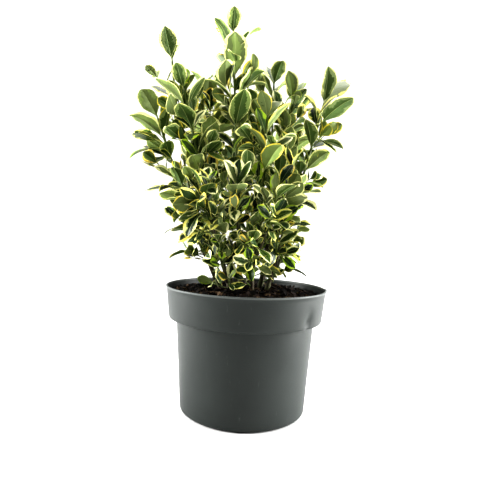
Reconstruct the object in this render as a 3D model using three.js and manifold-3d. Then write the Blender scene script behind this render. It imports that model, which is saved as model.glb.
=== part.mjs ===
// Potted Japanese spindle: a bushy evergreen shrub of many upright shoots, in a round nursery pot.
// Millimetres, +Z up, and -Y towards the side that it is mostly seen from.
// The origin is the middle of the pot's flat underside.
import * as THREE from "three";
import { mergeVertices } from "three/addons/utils/BufferGeometryUtils.js";
import Module from "manifold-3d";

const wasm = await Module();
wasm.setup();

// The pot: a five-litre container with a stepped collar.
const potHeight = 172;
const rimRadius = 112.5;
const footRadius = 87.4;
const footRound = 7.2;
const footInset = 3.4;
const wall = 1.5;
const collarHeight = 43;
const collarTaper = 5.4;
const ledge = 10.5;
const lip = 2.4;
const edgeRound = 0.8;
const roundSides = 40;
const drainHoles = 8;
const drainRadius = 6;
const drainRing = 62;

// The compost inside it, and the gap that touching pieces keep.
const soilDrop = 11.5;
const moundRise = 6.5;
const plateauRadius = 46;
const gap = 0.3;
const soilTop = potHeight - soilDrop + moundRise;

// Limbs: how far out and up the middle of each line is pulled, how much of the line is bare,
// and the radius at the foot and where the leaves begin.
const stemSweep = 0.52;
const stemRise = 0.45;
const boughSweep = 0.66;
const boughRise = 0.4;
const stemBare = 0.36;
const boughBare = 0.3;
const stemRadius = [3.1, 2.0];
const boughRadius = [2.1, 1.5];
const footFlare = 1.3;
const stemShape = { kind: "stem", radius: stemRadius, sides: 7, rings: 6 };
const boughShape = { kind: "bough", radius: boughRadius, sides: 5, rings: 4 };

// Leafy shoots. A three-sided twig has the section area of a round one when its corners lie this much
// further out.
const threeSided = 1.55;
const twigRadius = [1.45, 0.8];
const sideTwigRadius = [1.0, 0.65];
const sideTwigLength = [20, 36];
const sideTwigChance = 0.16;
const sideTwigOpen = 42;
const sideTwigBend = 0.2;
const shootRings = 6;
const firstNode = 0.45;
const lastNode = 0.985;

// Leaves: all lengths are along the midrib, and angles are in degrees.
const leafWidth = 0.54;
const leafThickness = 1 / 50;
const petioleWidth = 0.9;
const rootSunk = 0.5;
const leafOpen = [54, 21];
const leafArch = 34;
const leafTwist = 26;
const turnJitter = 13;
const youngFrom = 0.74;
const youngLeaf = 0.72;
const sideLeaf = 0.62;
const tinyLeaf = 0.56;
const leafSizes = [0.86, 1.1];
const leafShape = { stations: [0.38, 0.74], widths: [0.78, 0.93] };
const smallLeafShape = { stations: [0.56], widths: [1] };
const smallLeafLength = 37;
const openJitter = 9;

// Space: a leaf's first few millimetres aren't tested, and the rest stays clear of limbs and other shoots.
const rootSkip = 3;
const reach = 74;
const clear = 1.4;
const rimClear = 14;
const limbStep = 5;
const spaceSteps = 8;

// Each main stem: where it leaves the soil, where its shoot ends, the pairs of leaves on the shoot,
// their length at its foot and tip, and the way that the first pair points. Some also set the share of
// their line that is bare, and how small their topmost leaves are.
const stems = [
  { name: "leader", foot: [-8, 6], tip: [-31, -28, 518], bare: 0.35,
    pairs: 7, leaf: [48, 72], turn: 14, young: 0.44 },
  { name: "left", foot: [-36, -2], tip: [-130, -24, 400],
    pairs: 5, leaf: [50, 68], turn: 18, young: 1 },
  { name: "front_left", foot: [-22, -14], tip: [-92, -50, 432], bare: 0.38,
    pairs: 6, leaf: [48, 58], turn: 90 },
  { name: "front_right", foot: [7, -15], tip: [18, -48, 400],
    pairs: 6, leaf: [48, 56], turn: 45 },
  { name: "right", foot: [29, 0], tip: [98, -4, 430], bare: 0.5,
    pairs: 4, leaf: [38, 68], turn: 36, young: 1 },
  { name: "middle_right", foot: [19, 4], tip: [56, 12, 446],
    pairs: 6, leaf: [48, 54], turn: 60 },
  { name: "back_left", foot: [-20, 19], tip: [-74, 58, 462],
    pairs: 6, leaf: [48, 58], turn: 30 },
  { name: "back", foot: [3, 28], tip: [-8, 88, 480],
    pairs: 7, leaf: [48, 60], turn: 8 },
  { name: "back_right", foot: [22, 22], tip: [62, 72, 458],
    pairs: 6, leaf: [48, 58], turn: 70 },
];

// Each bough: the stem that carries it and how far up that stem's line it leaves. The rest is as on a stem.
const boughs = [
  { name: "top_left", from: "left", at: 0.3, tip: [-118, 8, 490],
    pairs: 3, leaf: [20, 60], turn: -4, young: 0.85 },
  { name: "mid_left", from: "left", at: 0.2, tip: [-94, -36, 322],
    pairs: 4, leaf: [44, 50], turn: 40 },
  { name: "low_left", from: "left", at: 0.08, tip: [-68, -24, 256],
    pairs: 4, leaf: [36, 42], turn: 20 },
  { name: "mid_front_left", from: "front_left", at: 0.22, tip: [-60, -80, 300],
    pairs: 4, leaf: [44, 50], turn: 45 },
  { name: "low_front_left", from: "front_left", at: 0.06, tip: [-42, -54, 246],
    pairs: 4, leaf: [34, 40], turn: 0 },
  { name: "mid_front", from: "leader", at: 0.2, tip: [-18, -78, 304], bare: 0.35,
    pairs: 4, leaf: [44, 52], turn: 0 },
  { name: "mid_front_right", from: "front_right", at: 0.22, tip: [34, -76, 306],
    pairs: 4, leaf: [44, 50], turn: 30 },
  { name: "low_front", from: "front_right", at: 0.06, tip: [4, -60, 246],
    pairs: 4, leaf: [34, 40], turn: 45 },
  { name: "top_middle", from: "middle_right", at: 0.3, tip: [30, 34, 470], bare: 0.45,
    pairs: 5, leaf: [48, 58], turn: 30 },
  { name: "mid_right", from: "right", at: 0.22, tip: [54, -30, 336],
    pairs: 4, leaf: [44, 48], turn: 0 },
  { name: "low_front_right", from: "right", at: 0.13, tip: [38, -48, 252],
    pairs: 4, leaf: [34, 40], turn: 20 },
  { name: "low_right", from: "right", at: 0.06, tip: [58, 14, 252],
    pairs: 4, leaf: [32, 36], turn: 60 },
  { name: "mid_back_left", from: "back_left", at: 0.22, tip: [-90, 56, 340],
    pairs: 5, leaf: [44, 50], turn: 10 },
  { name: "low_back_left", from: "back_left", at: 0.06, tip: [-48, 50, 252],
    pairs: 4, leaf: [36, 42], turn: 50 },
  { name: "mid_back", from: "back", at: 0.22, tip: [-34, 98, 334],
    pairs: 5, leaf: [44, 50], turn: 25 },
  { name: "low_back", from: "back", at: 0.1, tip: [16, 82, 270],
    pairs: 5, leaf: [40, 46], turn: 0 },
  { name: "low_back_right", from: "back_right", at: 0.06, tip: [42, 56, 252],
    pairs: 4, leaf: [36, 42], turn: 15 },
  { name: "mid_back_right", from: "back_right", at: 0.22, tip: [54, 66, 350],
    pairs: 5, leaf: [44, 50], turn: 70 },
];

const potPlastic = new THREE.MeshStandardMaterial({ color: 0x5f6464, roughness: 0.5, metalness: 0 });
const compost = new THREE.MeshStandardMaterial({ color: 0x3a2a20, roughness: 0.95, metalness: 0 });
const bark = new THREE.MeshStandardMaterial({ color: 0x6c6a45, roughness: 0.8, metalness: 0 });
const foliage = new THREE.MeshStandardMaterial({ color: 0x7f9650, roughness: 0.5, metalness: 0 });

const model = new THREE.Group();

function mix(low, high, t) {
  return low + (high - low) * t;
}

function radians(degrees) {
  return (degrees * Math.PI) / 180;
}

// A repeatable number from 0 to 1 for one use of one place on the plant.
function chance(place, use) {
  let h = Math.imul(place + 1, 0x9e3779b1) ^ Math.imul(use + 1, 0x85ebca6b);
  h = Math.imul(h ^ (h >>> 15), 0x2c1b3c6d);
  h = Math.imul(h ^ (h >>> 12), 0x297a2d39);
  return ((h ^ (h >>> 15)) >>> 0) / 4294967296;
}

function swing(place, use) {
  return 2 * chance(place, use) - 1;
}

function addMesh(name, geometry, material) {
  const mesh = new THREE.Mesh(geometry, material);
  mesh.name = name;
  model.add(mesh);
}

// Solids for joining and cutting, and back again.
function solidOf(geometry) {
  const bare = geometry.clone();
  bare.deleteAttribute("normal");
  bare.deleteAttribute("uv");
  const merged = mergeVertices(bare, 1e-4);
  const vertProperties = new Float32Array(merged.attributes.position.array);
  const triVerts = new Uint32Array(merged.index.array);
  return new wasm.Manifold(new wasm.Mesh({ numProp: 3, vertProperties, triVerts }));
}

function geometryOf(solid) {
  const { vertProperties, triVerts } = solid.getMesh();
  const geometry = new THREE.BufferGeometry();
  geometry.setAttribute("position", new THREE.BufferAttribute(vertProperties, 3));
  geometry.setIndex(new THREE.BufferAttribute(triVerts, 1));
  geometry.computeVertexNormals();
  return geometry;
}

function geometryFrom(points, triangles) {
  const geometry = new THREE.BufferGeometry();
  const position = new Float32Array(points.flatMap((p) => [p.x, p.y, p.z]));
  geometry.setAttribute("position", new THREE.BufferAttribute(position, 3));
  geometry.setIndex(triangles);
  return geometry;
}

// A closed skin over rings of points that all have the same count, with a flat cap at each end.
function skin(rings) {
  const points = rings.flat();
  const sides = rings[0].length;
  const last = points.length - sides;
  const triangles = [];
  for (let ring = 0; ring < rings.length - 1; ring += 1) {
    for (let side = 0; side < sides; side += 1) {
      const a = ring * sides + side;
      const b = ring * sides + ((side + 1) % sides);
      triangles.push(a, b, b + sides, a, b + sides, a + sides);
    }
  }
  for (let side = 1; side < sides - 1; side += 1) {
    triangles.push(0, side + 1, side, last, last + side, last + side + 1);
  }
  return geometryFrom(points, triangles);
}

// Two directions across a line that runs along w.
function acrossOf(w) {
  const reference = Math.abs(w.x) < 0.8 ? new THREE.Vector3(1, 0, 0) : new THREE.Vector3(0, 1, 0);
  const u = reference.addScaledVector(w, -reference.dot(w)).normalize();
  return { u, v: new THREE.Vector3().crossVectors(w, u) };
}

function ringOf(centre, w, radius, sides) {
  const { u, v } = acrossOf(w);
  return Array.from({ length: sides }, (_, side) => {
    const angle = (2 * Math.PI * side) / sides;
    return centre
      .clone()
      .addScaledVector(u, radius * Math.cos(angle))
      .addScaledVector(v, radius * Math.sin(angle));
  });
}

function lathe(profile) {
  const outline = profile.map(([radius, height]) => new THREE.Vector2(radius, height));
  return new THREE.LatheGeometry(outline, roundSides).rotateX(Math.PI / 2);
}

// The pot: a thin wall that follows the outside, with a step in under the collar and a rolled lip.
const collarFoot = potHeight - collarHeight;
const collarFootRadius = rimRadius - collarTaper;
const bodyTopRadius = collarFootRadius - ledge;

function buildPot() {
  const outside = [
    [0, 0],
    [footRadius - footInset, 0],
    [footRadius - 0.4 * footInset, 0.17 * footRound],
    [footRadius, footRound],
    [bodyTopRadius, collarFoot - wall],
    [collarFootRadius - wall, collarFoot - wall],
    [collarFootRadius, collarFoot],
    [rimRadius - edgeRound, potHeight - lip - edgeRound],
    [rimRadius, potHeight - lip],
    [rimRadius, potHeight - edgeRound],
    [rimRadius - edgeRound, potHeight],
  ];
  const inside = [
    [rimRadius - lip, potHeight],
    [rimRadius - lip, potHeight - lip - edgeRound],
    [collarFootRadius - wall, collarFoot],
    [bodyTopRadius - wall, collarFoot],
    [footRadius - wall, footRound + wall],
    [footRadius - 2 * wall, wall],
    [0, wall],
  ];
  let shell = solidOf(lathe([...outside, ...inside]));
  for (let hole = 0; hole < drainHoles; hole += 1) {
    const angle = (2 * Math.PI * hole) / drainHoles;
    const drill = new THREE.CylinderGeometry(drainRadius, drainRadius, 4 * wall, 8);
    drill.rotateX(Math.PI / 2);
    drill.translate(drainRing * Math.cos(angle), drainRing * Math.sin(angle), 0);
    shell = shell.subtract(solidOf(drill));
  }
  addMesh("pot", geometryOf(shell), potPlastic);
}

// The compost fills the pot to a little under the rim, and rises to a flat top where the stems stand.
function buildSoil() {
  const edgeHeight = potHeight - soilDrop;
  const climb = (edgeHeight - collarFoot) / (potHeight - lip - edgeRound - collarFoot);
  const edgeRadius = mix(collarFootRadius - wall, rimRadius - lip, climb) - gap;
  const profile = [
    [0, wall + gap],
    [footRadius - 2 * wall - gap, wall + gap],
    [footRadius - wall - gap, footRound + wall],
    [bodyTopRadius - wall - gap, collarFoot + gap],
    [collarFootRadius - wall - gap, collarFoot + gap],
    [edgeRadius, edgeHeight],
    [mix(edgeRadius, plateauRadius, 0.35), mix(edgeHeight, soilTop, 0.6)],
    [plateauRadius, soilTop],
    [0, soilTop],
  ];
  addMesh("soil", lathe(profile), compost);
}

// A branch is one line from its foot to the tip of its leafy shoot: the bare part is a stem or bough.
function branchLine(start, tip, sweep, rise) {
  const pull = new THREE.Vector3(
    mix(start.x, tip.x, sweep),
    mix(start.y, tip.y, sweep),
    mix(start.z, tip.z, rise),
  );
  return new THREE.QuadraticBezierCurve3(start, pull, tip);
}

function limbRadiusAt(branch, t) {
  return mix(branch.radius[0], branch.radius[1], t / branch.bare);
}

function buildBranches() {
  const branches = [];
  for (const stem of stems) {
    const start = new THREE.Vector3(stem.foot[0], stem.foot[1], soilTop + gap);
    const line = branchLine(start, new THREE.Vector3(...stem.tip), stemSweep, stemRise);
    branches.push({ ...stemShape, bare: stemBare, ...stem, line });
  }
  for (const bough of boughs) {
    const parent = branches.find((branch) => branch.name === bough.from);
    const middle = parent.line.getPoint(bough.at);
    const tip = new THREE.Vector3(...bough.tip);
    const first = branchLine(middle, tip, boughSweep, boughRise);
    const out = first.getTangent(0);
    const up = parent.line.getTangent(bough.at);
    const slant = out.dot(up);
    const away = out.clone().addScaledVector(up, -slant).normalize();
    const offset = limbRadiusAt(parent, bough.at) + gap + boughRadius[0] * slant;
    const start = middle.addScaledVector(away, offset);
    const line = new THREE.QuadraticBezierCurve3(start, first.v1, tip);
    branches.push({ ...boughShape, bare: boughBare, ...bough, line });
  }
  return branches;
}

function buildLimb(branch) {
  const rings = [];
  for (let ring = 0; ring < branch.rings; ring += 1) {
    const t = (branch.bare * ring) / (branch.rings - 1);
    const cutFlat = ring === 0 && branch.kind === "stem";
    const w = cutFlat ? new THREE.Vector3(0, 0, 1) : branch.line.getTangent(t);
    const radius = limbRadiusAt(branch, t) * (cutFlat ? footFlare : 1);
    rings.push(ringOf(branch.line.getPoint(t), w, radius, branch.sides));
  }
  addMesh(`${branch.kind}_${branch.name}`, skin(rings), bark);
}

// The leafy part of each branch, as points that say which space belongs to which shoot.
function spaceLine(branch) {
  return Array.from({ length: spaceSteps + 1 }, (_, i) =>
    branch.line.getPoint(mix(branch.bare, 1, i / spaceSteps)),
  );
}

function distanceToLine(point, line) {
  let nearest = Infinity;
  for (let i = 0; i < line.length - 1; i += 1) {
    const along = new THREE.Vector3().subVectors(line[i + 1], line[i]);
    const offset = new THREE.Vector3().subVectors(point, line[i]);
    const t = Math.min(1, Math.max(0, offset.dot(along) / along.lengthSq()));
    nearest = Math.min(nearest, offset.addScaledVector(along, -t).length());
  }
  return nearest;
}

// Points close together along every bare limb, each with the radius there.
function limbPoints(branches) {
  return branches.flatMap((branch) => {
    const steps = Math.ceil((branch.line.getLength() * branch.bare) / limbStep);
    return Array.from({ length: steps + 1 }, (_, i) => {
      const t = (branch.bare * i) / steps;
      return { centre: branch.line.getPoint(t), radius: limbRadiusAt(branch, t) };
    });
  });
}

const branches = buildBranches();
const spaces = branches.map(spaceLine);
const limbs = limbPoints(branches);

// A point keeps to a shoot's own space: nearer to its line than to any other, within reach, above the pot.
function keepsToSpace(point, shoot) {
  const own = distanceToLine(point, spaces[shoot]);
  if (own > reach || point.z < soilTop + 2 * clear) return false;
  if (point.z < potHeight + 2 * clear && Math.hypot(point.x, point.y) > rimRadius - rimClear) return false;
  return spaces.every((line, other) => other === shoot || distanceToLine(point, line) > own + clear);
}

function clearOfLimbs(triangles) {
  const near = new THREE.Vector3();
  return limbs.every(({ centre, radius }) =>
    triangles.every((triangle) => {
      triangle.closestPointToPoint(centre, near);
      return near.distanceTo(centre) > radius + clear;
    }),
  );
}

// A leaf starts at a twig's middle, runs along d with its upper face towards n, and arches back from n.
function leafPoint(leaf, s, across, drop) {
  const bend = radians(leaf.arch);
  const forward = Math.sin(bend * s) / bend;
  const back = (1 - Math.cos(bend * s)) / bend;
  const face = leaf.n.clone().multiplyScalar(Math.cos(bend * s)).addScaledVector(leaf.d, Math.sin(bend * s));
  return leaf.root
    .clone()
    .addScaledVector(leaf.d, leaf.length * forward)
    .addScaledVector(leaf.n, -leaf.length * back)
    .addScaledVector(leaf.side, across)
    .addScaledVector(face, -drop);
}

function leafRings(leaf, shape) {
  const widths = [petioleWidth / leaf.width, ...shape.widths];
  return [0, ...shape.stations].map((s, i) => {
    const half = (leaf.width * widths[i]) / 2;
    const drop = s === 0 ? petioleWidth : leaf.length * leafThickness;
    return [leafPoint(leaf, s, half, 0), leafPoint(leaf, s, 0, drop), leafPoint(leaf, s, -half, 0)];
  });
}

function makeLeaf(root, frame, azimuth, open, length, place) {
  const angle = radians(azimuth);
  const lean = radians(open);
  const radial = frame.u.clone().multiplyScalar(Math.cos(angle)).addScaledVector(frame.v, Math.sin(angle));
  const d = frame.w.clone().multiplyScalar(Math.cos(lean)).addScaledVector(radial, Math.sin(lean));
  const level = frame.w.clone().multiplyScalar(Math.sin(lean)).addScaledVector(radial, -Math.cos(lean));
  const n = level.applyAxisAngle(d, radians(leafTwist * swing(place, 5)));
  const side = new THREE.Vector3().crossVectors(d, n);
  const width = length * leafWidth * mix(0.9, 1.1, chance(place, 6));
  const arch = leafArch * mix(0.4, 1.3, chance(place, 7));
  return { root: root.clone().addScaledVector(d, rootSunk), d, n, side, length, width, arch, place };
}

// Where a leaf would leave its space or touch a limb it is turned, raised and shortened, and then skipped.
const attempts = [
  { turn: 0, raise: 0, size: 1 },
  { turn: 16, raise: 0, size: 1 },
  { turn: -16, raise: 0, size: 1 },
  { turn: 0, raise: 12, size: 0.94 },
  { turn: 34, raise: 8, size: 0.88 },
  { turn: -34, raise: 8, size: 0.88 },
  { turn: 0, raise: 14, size: 0.76 },
  { turn: 22, raise: 4, size: 0.64 },
  { turn: -22, raise: 4, size: 0.64 },
  { turn: 0, raise: 10, size: 0.52 },
];

// A leaf's blade as four triangles from just past its root to its tip, for the tests of touching and crossing.
function bladeOf(leaf, rings, tip) {
  const start = leaf.root.clone().addScaledVector(leaf.d, rootSkip);
  const [, [left, , right], [farLeft, , farRight]] = rings;
  return [
    new THREE.Triangle(start, left, right),
    new THREE.Triangle(left, farLeft, farRight),
    new THREE.Triangle(left, farRight, right),
    new THREE.Triangle(farLeft, tip, farRight),
  ];
}

// Whether the straight line between two points passes through a triangle.
function cuts(from, to, triangle) {
  const step = new THREE.Vector3().subVectors(to, from);
  const ray = new THREE.Ray(from, step.clone().normalize());
  const hit = ray.intersectTriangle(triangle.a, triangle.b, triangle.c, false, new THREE.Vector3());
  return hit !== null && hit.distanceTo(from) <= step.length();
}

function bladesCross(one, other) {
  return one.some((a) =>
    other.some(
      (b) =>
        cuts(a.a, a.b, b) ||
        cuts(a.b, a.c, b) ||
        cuts(a.c, a.a, b) ||
        cuts(b.a, b.b, a) ||
        cuts(b.b, b.c, a) ||
        cuts(b.c, b.a, a),
    ),
  );
}

function clearOfOwn(leaf, blade, leaves, twigs) {
  for (const other of leaves) {
    const apart = other.root.distanceTo(leaf.root);
    if (apart < other.length + leaf.length && bladesCross(blade, other.blade)) return false;
  }
  return twigs.every(({ points }) =>
    points.every((point, i) => i === 0 || !blade.some((triangle) => cuts(points[i - 1], point, triangle))),
  );
}

function tryLeaf(shoot, grown, root, frame, azimuth, open, length, place) {
  for (const { turn, raise, size } of attempts) {
    const leaf = makeLeaf(root, frame, azimuth + turn, open - raise, length * size, place);
    const rings = leafRings(leaf, leafShape);
    const tip = leafPoint(leaf, 1, 0, 0);
    const blade = bladeOf(leaf, rings, tip);
    const edges = [
      [rings[1][0], rings[2][0], tip],
      [rings[1][2], rings[2][2], tip],
    ];
    const halfway = edges.flatMap(([low, high, end]) => [
      low.clone().lerp(high, 0.5),
      high.clone().lerp(end, 0.5),
    ]);
    const checked = [...rings[1], ...rings[2], tip, ...halfway];
    if (!checked.every((point) => keepsToSpace(point, shoot))) continue;
    if (!clearOfLimbs(blade) || !clearOfOwn(leaf, blade, grown.leaves, grown.twigs)) continue;
    grown.leaves.push({ ...leaf, tip, blade });
    return;
  }
}

function frameAt(line, t) {
  const w = line.getTangent(t);
  return { w, ...acrossOf(w) };
}

// One pair of leaves stands at each node, a quarter turn on from the pair below it.
function growPair(shoot, grown, line, t, height, turn, length, place) {
  const frame = frameAt(line, t);
  const root = line.getPoint(t);
  for (const sideOf of [0, 1]) {
    const leafPlace = place + sideOf;
    const azimuth = turn + 180 * sideOf + turnJitter * swing(leafPlace, 1);
    const open = mix(leafOpen[0], leafOpen[1], height) + openJitter * swing(leafPlace, 2);
    const full = length * mix(...leafSizes, chance(leafPlace, 3));
    tryLeaf(shoot, grown, root, frame, azimuth, open, full, leafPlace);
  }
}

// A side twig leaves from above a leaf, bends upwards, and carries a pair of smaller leaves and a tip pair.
function growSideTwig(shoot, grown, line, t, azimuth, length, place) {
  const frame = frameAt(line, t);
  const start = line.getPoint(t);
  const reachOut = mix(sideTwigLength[0], sideTwigLength[1], chance(place, 11));
  const angle = radians(azimuth);
  const lean = radians(sideTwigOpen);
  const radial = frame.u.clone().multiplyScalar(Math.cos(angle)).addScaledVector(frame.v, Math.sin(angle));
  const along = frame.w.clone().multiplyScalar(Math.cos(lean)).addScaledVector(radial, Math.sin(lean));
  const tip = start.clone().addScaledVector(along, reachOut).addScaledVector(frame.w, sideTwigBend * reachOut);
  const pull = start.clone().addScaledVector(along, 0.55 * reachOut);
  const twig = new THREE.QuadraticBezierCurve3(start, pull, tip);
  const checked = [0.5, 0.75, 1].map((s) => twig.getPoint(s));
  const wide = checked.map((point) => new THREE.Triangle(start, point, point));
  if (!checked.every((point) => keepsToSpace(point, shoot)) || !clearOfLimbs(wide)) return;
  grown.twigs.push(makeTwig(twig, 0, sideTwigRadius, 3));
  growPair(shoot, grown, twig, 0.55, 0.4, azimuth, length * sideLeaf, place + 20);
  growPair(shoot, grown, twig, lastNode, 0.85, azimuth + 90, length * tinyLeaf, place + 30);
}

function makeTwig(line, from, radius, rings) {
  const points = Array.from({ length: rings }, (_, i) => line.getPoint(mix(from, 1, i / (rings - 1))));
  return { line, from, radius, rings, points };
}

// Leaves grow longer up a shoot, and the youngest, at its tip, are shorter again.
function leafLengthAt(branch, height) {
  const full = mix(branch.leaf[0], branch.leaf[1], height);
  const youth = Math.max(0, height - youngFrom) / (1 - youngFrom);
  return full * mix(1, branch.young ?? youngLeaf, youth);
}

// A shoot's pairs of leaves come first, then its side twigs, so that small leaves give way to large ones.
function growShoot(branch, shoot) {
  const grown = { leaves: [], twigs: [makeTwig(branch.line, branch.bare, twigRadius, shootRings)] };
  const nodes = Array.from({ length: branch.pairs }, (_, node) => {
    const height = (node + firstNode) / (branch.pairs + firstNode);
    const length = leafLengthAt(branch, height);
    const t = mix(branch.bare, 1, height);
    return { height, length, t, turn: branch.turn + 90 * node, place: shoot * 10000 + node * 100 };
  });
  for (const { height, length, t, turn, place } of nodes) {
    growPair(shoot, grown, branch.line, t, height, turn, length, place);
  }
  const tipTurn = branch.turn + 90 * branch.pairs;
  const tipPlace = shoot * 10000 + 9000;
  growPair(shoot, grown, branch.line, lastNode, 1.1, tipTurn, leafLengthAt(branch, 1), tipPlace);
  for (const { height, length, t, turn, place } of nodes) {
    for (const sideOf of [0, 1]) {
      const twigPlace = place + 40 * sideOf + 10;
      if (height > 0.8 || chance(twigPlace, 10) > sideTwigChance) continue;
      const azimuth = turn + 180 * sideOf + 20 * swing(twigPlace, 12);
      growSideTwig(shoot, grown, branch.line, t + 0.02, azimuth, length, twigPlace);
    }
  }
  return grown;
}

function twigSolid({ line, from, radius, rings }, startGap) {
  const list = [];
  for (let ring = 0; ring < rings; ring += 1) {
    const t = mix(from, 1, ring / (rings - 1));
    const w = line.getTangent(t);
    const centre = line.getPoint(t).addScaledVector(w, ring === 0 ? startGap : 0);
    list.push(ringOf(centre, w, threeSided * mix(radius[0], radius[1], ring / (rings - 1)), 3));
  }
  return solidOf(skin(list));
}

// A leaf's solid has a flat upper side, a keel below along the midrib, and one point at its tip.
function leafSolid(leaf) {
  const rings = leafRings(leaf, leaf.length < smallLeafLength ? smallLeafShape : leafShape);
  const points = [...rings.flat(), leaf.tip];
  const last = points.length - 1;
  const triangles = [0, 2, 1];
  for (let ring = 0; ring < rings.length - 1; ring += 1) {
    for (let side = 0; side < 3; side += 1) {
      const a = 3 * ring + side;
      const b = 3 * ring + ((side + 1) % 3);
      triangles.push(a, b, b + 3, a, b + 3, a + 3);
    }
  }
  for (let side = 0; side < 3; side += 1) {
    triangles.push(last - 3 + side, last - 3 + ((side + 1) % 3), last);
  }
  return solidOf(geometryFrom(points, triangles));
}

function buildShoot(branch, shoot) {
  const { leaves, twigs } = growShoot(branch, shoot);
  const solids = twigs.map((twig, i) => twigSolid(twig, i === 0 ? gap : 0));
  solids.push(...leaves.map(leafSolid));
  const joined = solids.reduce((whole, piece) => whole.add(piece));
  addMesh(`shoot_${branch.name}`, geometryOf(joined), foliage);
}

buildPot();
buildSoil();
branches.forEach(buildLimb);
branches.forEach(buildShoot);

export default model;
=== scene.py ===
"""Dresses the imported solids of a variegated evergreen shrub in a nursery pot, on a pale stage."""

import math

import bpy
import numpy as np
from bpy.props import FloatProperty, FloatVectorProperty, IntProperty, PointerProperty
from mathutils import Matrix, Vector


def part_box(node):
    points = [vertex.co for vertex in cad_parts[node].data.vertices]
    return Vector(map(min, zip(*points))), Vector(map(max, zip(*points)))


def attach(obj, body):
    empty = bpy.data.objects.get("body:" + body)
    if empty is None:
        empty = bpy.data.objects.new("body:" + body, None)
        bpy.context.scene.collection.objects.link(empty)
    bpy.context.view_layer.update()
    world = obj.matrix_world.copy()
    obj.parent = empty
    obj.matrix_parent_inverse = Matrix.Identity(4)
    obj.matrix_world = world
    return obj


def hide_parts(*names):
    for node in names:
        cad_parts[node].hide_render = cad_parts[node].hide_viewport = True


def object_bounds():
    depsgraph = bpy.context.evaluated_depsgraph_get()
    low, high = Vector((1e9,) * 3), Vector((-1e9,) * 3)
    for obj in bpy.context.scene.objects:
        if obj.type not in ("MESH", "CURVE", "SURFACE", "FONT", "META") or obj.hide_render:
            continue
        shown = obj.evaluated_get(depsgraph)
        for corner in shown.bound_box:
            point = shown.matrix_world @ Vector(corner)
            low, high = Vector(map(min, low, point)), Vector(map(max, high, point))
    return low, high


bl_info = {
    "name": "Potted spindle",
    "version": (1, 0, 0),
    "blender": (4, 5, 0),
    "location": "View3D > Sidebar > Spindle",
    "description": "Leaves, twigs, bark, compost and pot for a variegated evergreen shrub",
    "category": "Object",
}

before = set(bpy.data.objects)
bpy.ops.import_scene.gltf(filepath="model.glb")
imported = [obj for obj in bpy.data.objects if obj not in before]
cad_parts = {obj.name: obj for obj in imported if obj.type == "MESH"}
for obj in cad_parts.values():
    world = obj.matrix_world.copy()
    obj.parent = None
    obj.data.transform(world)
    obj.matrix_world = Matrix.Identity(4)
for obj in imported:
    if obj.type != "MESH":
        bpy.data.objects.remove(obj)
cad_box = [list(corner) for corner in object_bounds()]
pot_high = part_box("pot")[1]

MM = 0.001

# The frame's own sizes in millimetres, as in the part's source.
POT_HEIGHT = 172.0
RIM_RADIUS = 112.5
FOOT_RADIUS = 87.4
FOOT_ROUND = 7.2
WALL = 1.5
COLLAR_HEIGHT = 43.0
COLLAR_TAPER = 5.4
LEDGE = 10.5
LIP = 2.4
EDGE_ROUND = 0.8
DRAIN_HOLES = 8
DRAIN_RADIUS = 6.0
DRAIN_RING = 62.0
SOIL_DROP = 11.5
MOUND_RISE = 6.5
PLATEAU_RADIUS = 46.0
GAP = 0.3
SOIL_TOP = POT_HEIGHT - SOIL_DROP + MOUND_RISE
COLLAR_FOOT = POT_HEIGHT - COLLAR_HEIGHT
COLLAR_FOOT_RADIUS = RIM_RADIUS - COLLAR_TAPER
BODY_TOP_RADIUS = COLLAR_FOOT_RADIUS - LEDGE

# The branching rule, as in the part's source: millimetres along a line, angles in degrees.
STEM_SWEEP, STEM_RISE = 0.52, 0.45
BOUGH_SWEEP, BOUGH_RISE = 0.66, 0.4
STEM_BARE, BOUGH_BARE = 0.36, 0.3
STEM_RADIUS = (3.1, 2.0)
BOUGH_RADIUS = (2.1, 1.5)
FOOT_FLARE = 1.3
TWIG_RADIUS = (1.45, 0.8)
SIDE_TWIG_RADIUS = (1.0, 0.65)
SIDE_TWIG_LENGTH = (20, 36)
SIDE_TWIG_CHANCE = 0.16
SIDE_TWIG_OPEN = 42
SIDE_TWIG_BEND = 0.2
SHOOT_RINGS = 6
FIRST_NODE = 0.45
LAST_NODE = 0.985
LEAF_WIDTH = 0.54
PETIOLE_WIDTH = 0.9
ROOT_SUNK = 0.5
LEAF_OPEN = (54, 21)
LEAF_ARCH = 34
LEAF_TWIST = 26
TURN_JITTER = 13
OPEN_JITTER = 9
YOUNG_FROM = 0.74
YOUNG_LEAF = 0.72
SIDE_LEAF = 0.62
TINY_LEAF = 0.56
LEAF_SIZES = (0.86, 1.1)
LEAF_STATIONS = (0.38, 0.74)
LEAF_WIDTHS = (0.78, 0.93)
ROOT_SKIP = 3
REACH = 74
CLEAR = 1.4
RIM_CLEAR = 14
LIMB_STEP = 5
SPACE_STEPS = 8
ATTEMPTS = (
    (0, 0, 1),
    (16, 0, 1),
    (-16, 0, 1),
    (0, 12, 0.94),
    (34, 8, 0.88),
    (-34, 8, 0.88),
    (0, 14, 0.76),
    (22, 4, 0.64),
    (-22, 4, 0.64),
    (0, 10, 0.52),
)

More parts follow.
